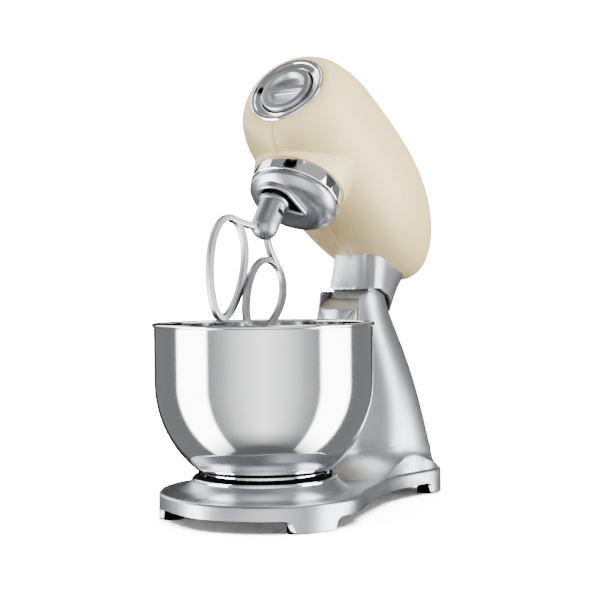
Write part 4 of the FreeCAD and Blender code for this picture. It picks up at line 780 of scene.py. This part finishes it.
def hide_from(obj, *rays):
    """Leave an object out for some kinds of ray."""
    for ray in rays:
        setattr(obj, "visible_" + ray, False)


floor = stage_mesh("floor", *square(FLOOR, 0), pale_floor())
hide_from(floor, "diffuse", "glossy", "transmission")

wall_turns = [2 * math.pi * i / WALL_STEPS for i in range(WALL_STEPS)]
wall_rows = [[(FLOOR * math.cos(a), FLOOR * math.sin(a), z) for a in wall_turns] for z in (0, WALL_H)]
wall = stage_mesh("white wall", *sheet(wall_rows, closed=True), glowing("white wall", WHITE))
hide_from(wall, "diffuse", "glossy", "transmission", "shadow")

bounce_look = moulded("floor bounce", (0.07, 0.07, 0.07), (0.06, 0.06, 0.06), rough=0.9, grain=0.0)
bounce = stage_mesh("floor bounce", *square(BOUNCE, BOUNCE_Z), bounce_look)
hide_from(bounce, "camera", "glossy", "transmission", "shadow")


# Sky

VIEW_DEG = 34.17       # the photo's camera, seen from the bowl's axis

# Light by the share of a half turn from the camera's side
PANELS = [(0.0, 3.0), (0.12, 2.0), (0.24, 0.9), (0.33, 0.5), (0.35, 15.0), (0.545, 15.0), (0.57, 0.25),
          (0.84, 0.25), (0.87, 0.05), (1.0, 0.05)]
# Light by height from nadir to zenith, and how much of it replaces the panels
HEIGHTS = [(0.0, 0.15), (0.45, 0.35), (0.70, 0.25), (0.85, 0.28), (1.0, 0.35)]
RISE = [(0.05, 1.0), (0.15, 0.0), (0.57, 0.0), (0.68, 1.0)]
# Small screens and lamps: side to side as shares of a half turn, height as the sine, and the light there
PATCHES = [(0.04, 0.50, 0.40, 0.90, 0.55), (0.34, 0.46, 0.12, 0.42, 11.0),
           (0.46, 0.60, 0.15, 0.45, 0.12), (0.16, 0.95, 0.885, 0.985, 5.0),
           (-0.38, 0.0, 0.90, 0.955, 0.0), (-0.815, -0.63, 0.10, 0.73, 4.0),
           (-0.63, -0.42, 0.10, 0.34, 7.0), (-1.1, -0.875, 0.10, 0.55, 0.02)]


def studio_sky():
    """Even light with a bright panel at each side and dark screens behind, as in a product studio."""
    world = bpy.data.worlds.new("studio")
    world.use_nodes = True
    sky = Shader(world.node_tree)
    way = sky.node("ShaderNodeTexCoord", {}, {}, "Generated")
    turn = sky.node("ShaderNodeVectorRotate", {"rotation_type": "Z_AXIS"},
                    {"Vector": way, "Angle": -math.radians(VIEW_DEG)})
    x, y, z = (sky.node("ShaderNodeSeparateXYZ", {}, {0: turn}, k) for k in range(3))
    side = sky.node("ShaderNodeMath", {"operation": "ARCTAN2"}, {0: y, 1: x}) * (1 / math.pi)
    off = sky.node("ShaderNodeMath", {"operation": "ABSOLUTE"}, {0: side})
    height = z * 0.5 + 0.5
    light = sky.blend(sky.ramp(height, RISE), sky.ramp(off, PANELS), sky.ramp(height, HEIGHTS))
    for left, right, low, high, strength in PATCHES:
        patch = sky.window(side, left, right) * sky.window(z, low, high)
        light = sky.blend(patch, light, (strength, strength, strength))
    sky.fill(sky.nodes["Background"], {"Color": light, "Strength": 1.0})
    bpy.context.scene.world = world


studio_sky()


# Camera and lights

VIEW_REACH, VIEW_HEIGHT = 1.29269, 0.23224
PAN_DEG, PITCH_DEG, ROLL_DEG = 1.62, 0.77, -0.57
SENSOR_MM, LENS_MM = 36.0, 78.02


def turned(first, second, angle_deg):
    """Two directions at right angles, the first turned towards the second."""
    angle = math.radians(angle_deg)
    return (first * math.cos(angle) + second * math.sin(angle),
            second * math.cos(angle) - first * math.sin(angle))


def photo_camera():
    turn = math.radians(VIEW_DEG)
    ahead = Vector((-math.cos(turn), -math.sin(turn), 0))
    right = Vector((-math.sin(turn), math.cos(turn), 0))
    up = Vector((0, 0, 1))
    ahead, right = turned(ahead, right, PAN_DEG)
    up, ahead = turned(up, ahead, PITCH_DEG)
    right, up = turned(right, up, ROLL_DEG)
    data = bpy.data.cameras.new("photo view")
    data.sensor_width = SENSOR_MM
    data.lens = LENS_MM
    made = bpy.data.objects.new("photo view", data)
    spot = Vector((BOWL_X + VIEW_REACH * math.cos(turn), VIEW_REACH * math.sin(turn), VIEW_HEIGHT))
    made.matrix_world = Matrix.Translation(spot) @ Matrix((right, up, -ahead)).transposed().to_4x4()
    bpy.context.scene.collection.objects.link(made)
    bpy.context.scene.camera = made


photo_camera()


def soft_light(name, receivers, strength, spread_deg, turn_deg, rise_deg):
    """Broad light that falls on chosen pieces alone; turned from the camera's side, risen from level."""
    data = bpy.data.lights.new(name, "SUN")
    data.energy = strength
    data.angle = math.radians(spread_deg)
    made = bpy.data.objects.new(name, data)
    made.rotation_euler = (0, math.radians(90 - rise_deg), math.radians(VIEW_DEG + turn_deg))
    made.visible_glossy = False
    bpy.context.scene.collection.objects.link(made)
    lit = bpy.data.collections.new(name)
    for obj in receivers:
        lit.objects.link(obj)
    made.light_linking.receiver_collection = lit


soft_light("floor light", [floor], strength=80.0, spread_deg=84, turn_deg=0, rise_deg=90)
soft_light("paint light", shells, strength=12.0, spread_deg=90, turn_deg=34, rise_deg=-4)
soft_light("fill light", shells, strength=4.0, spread_deg=80, turn_deg=85, rise_deg=-20)
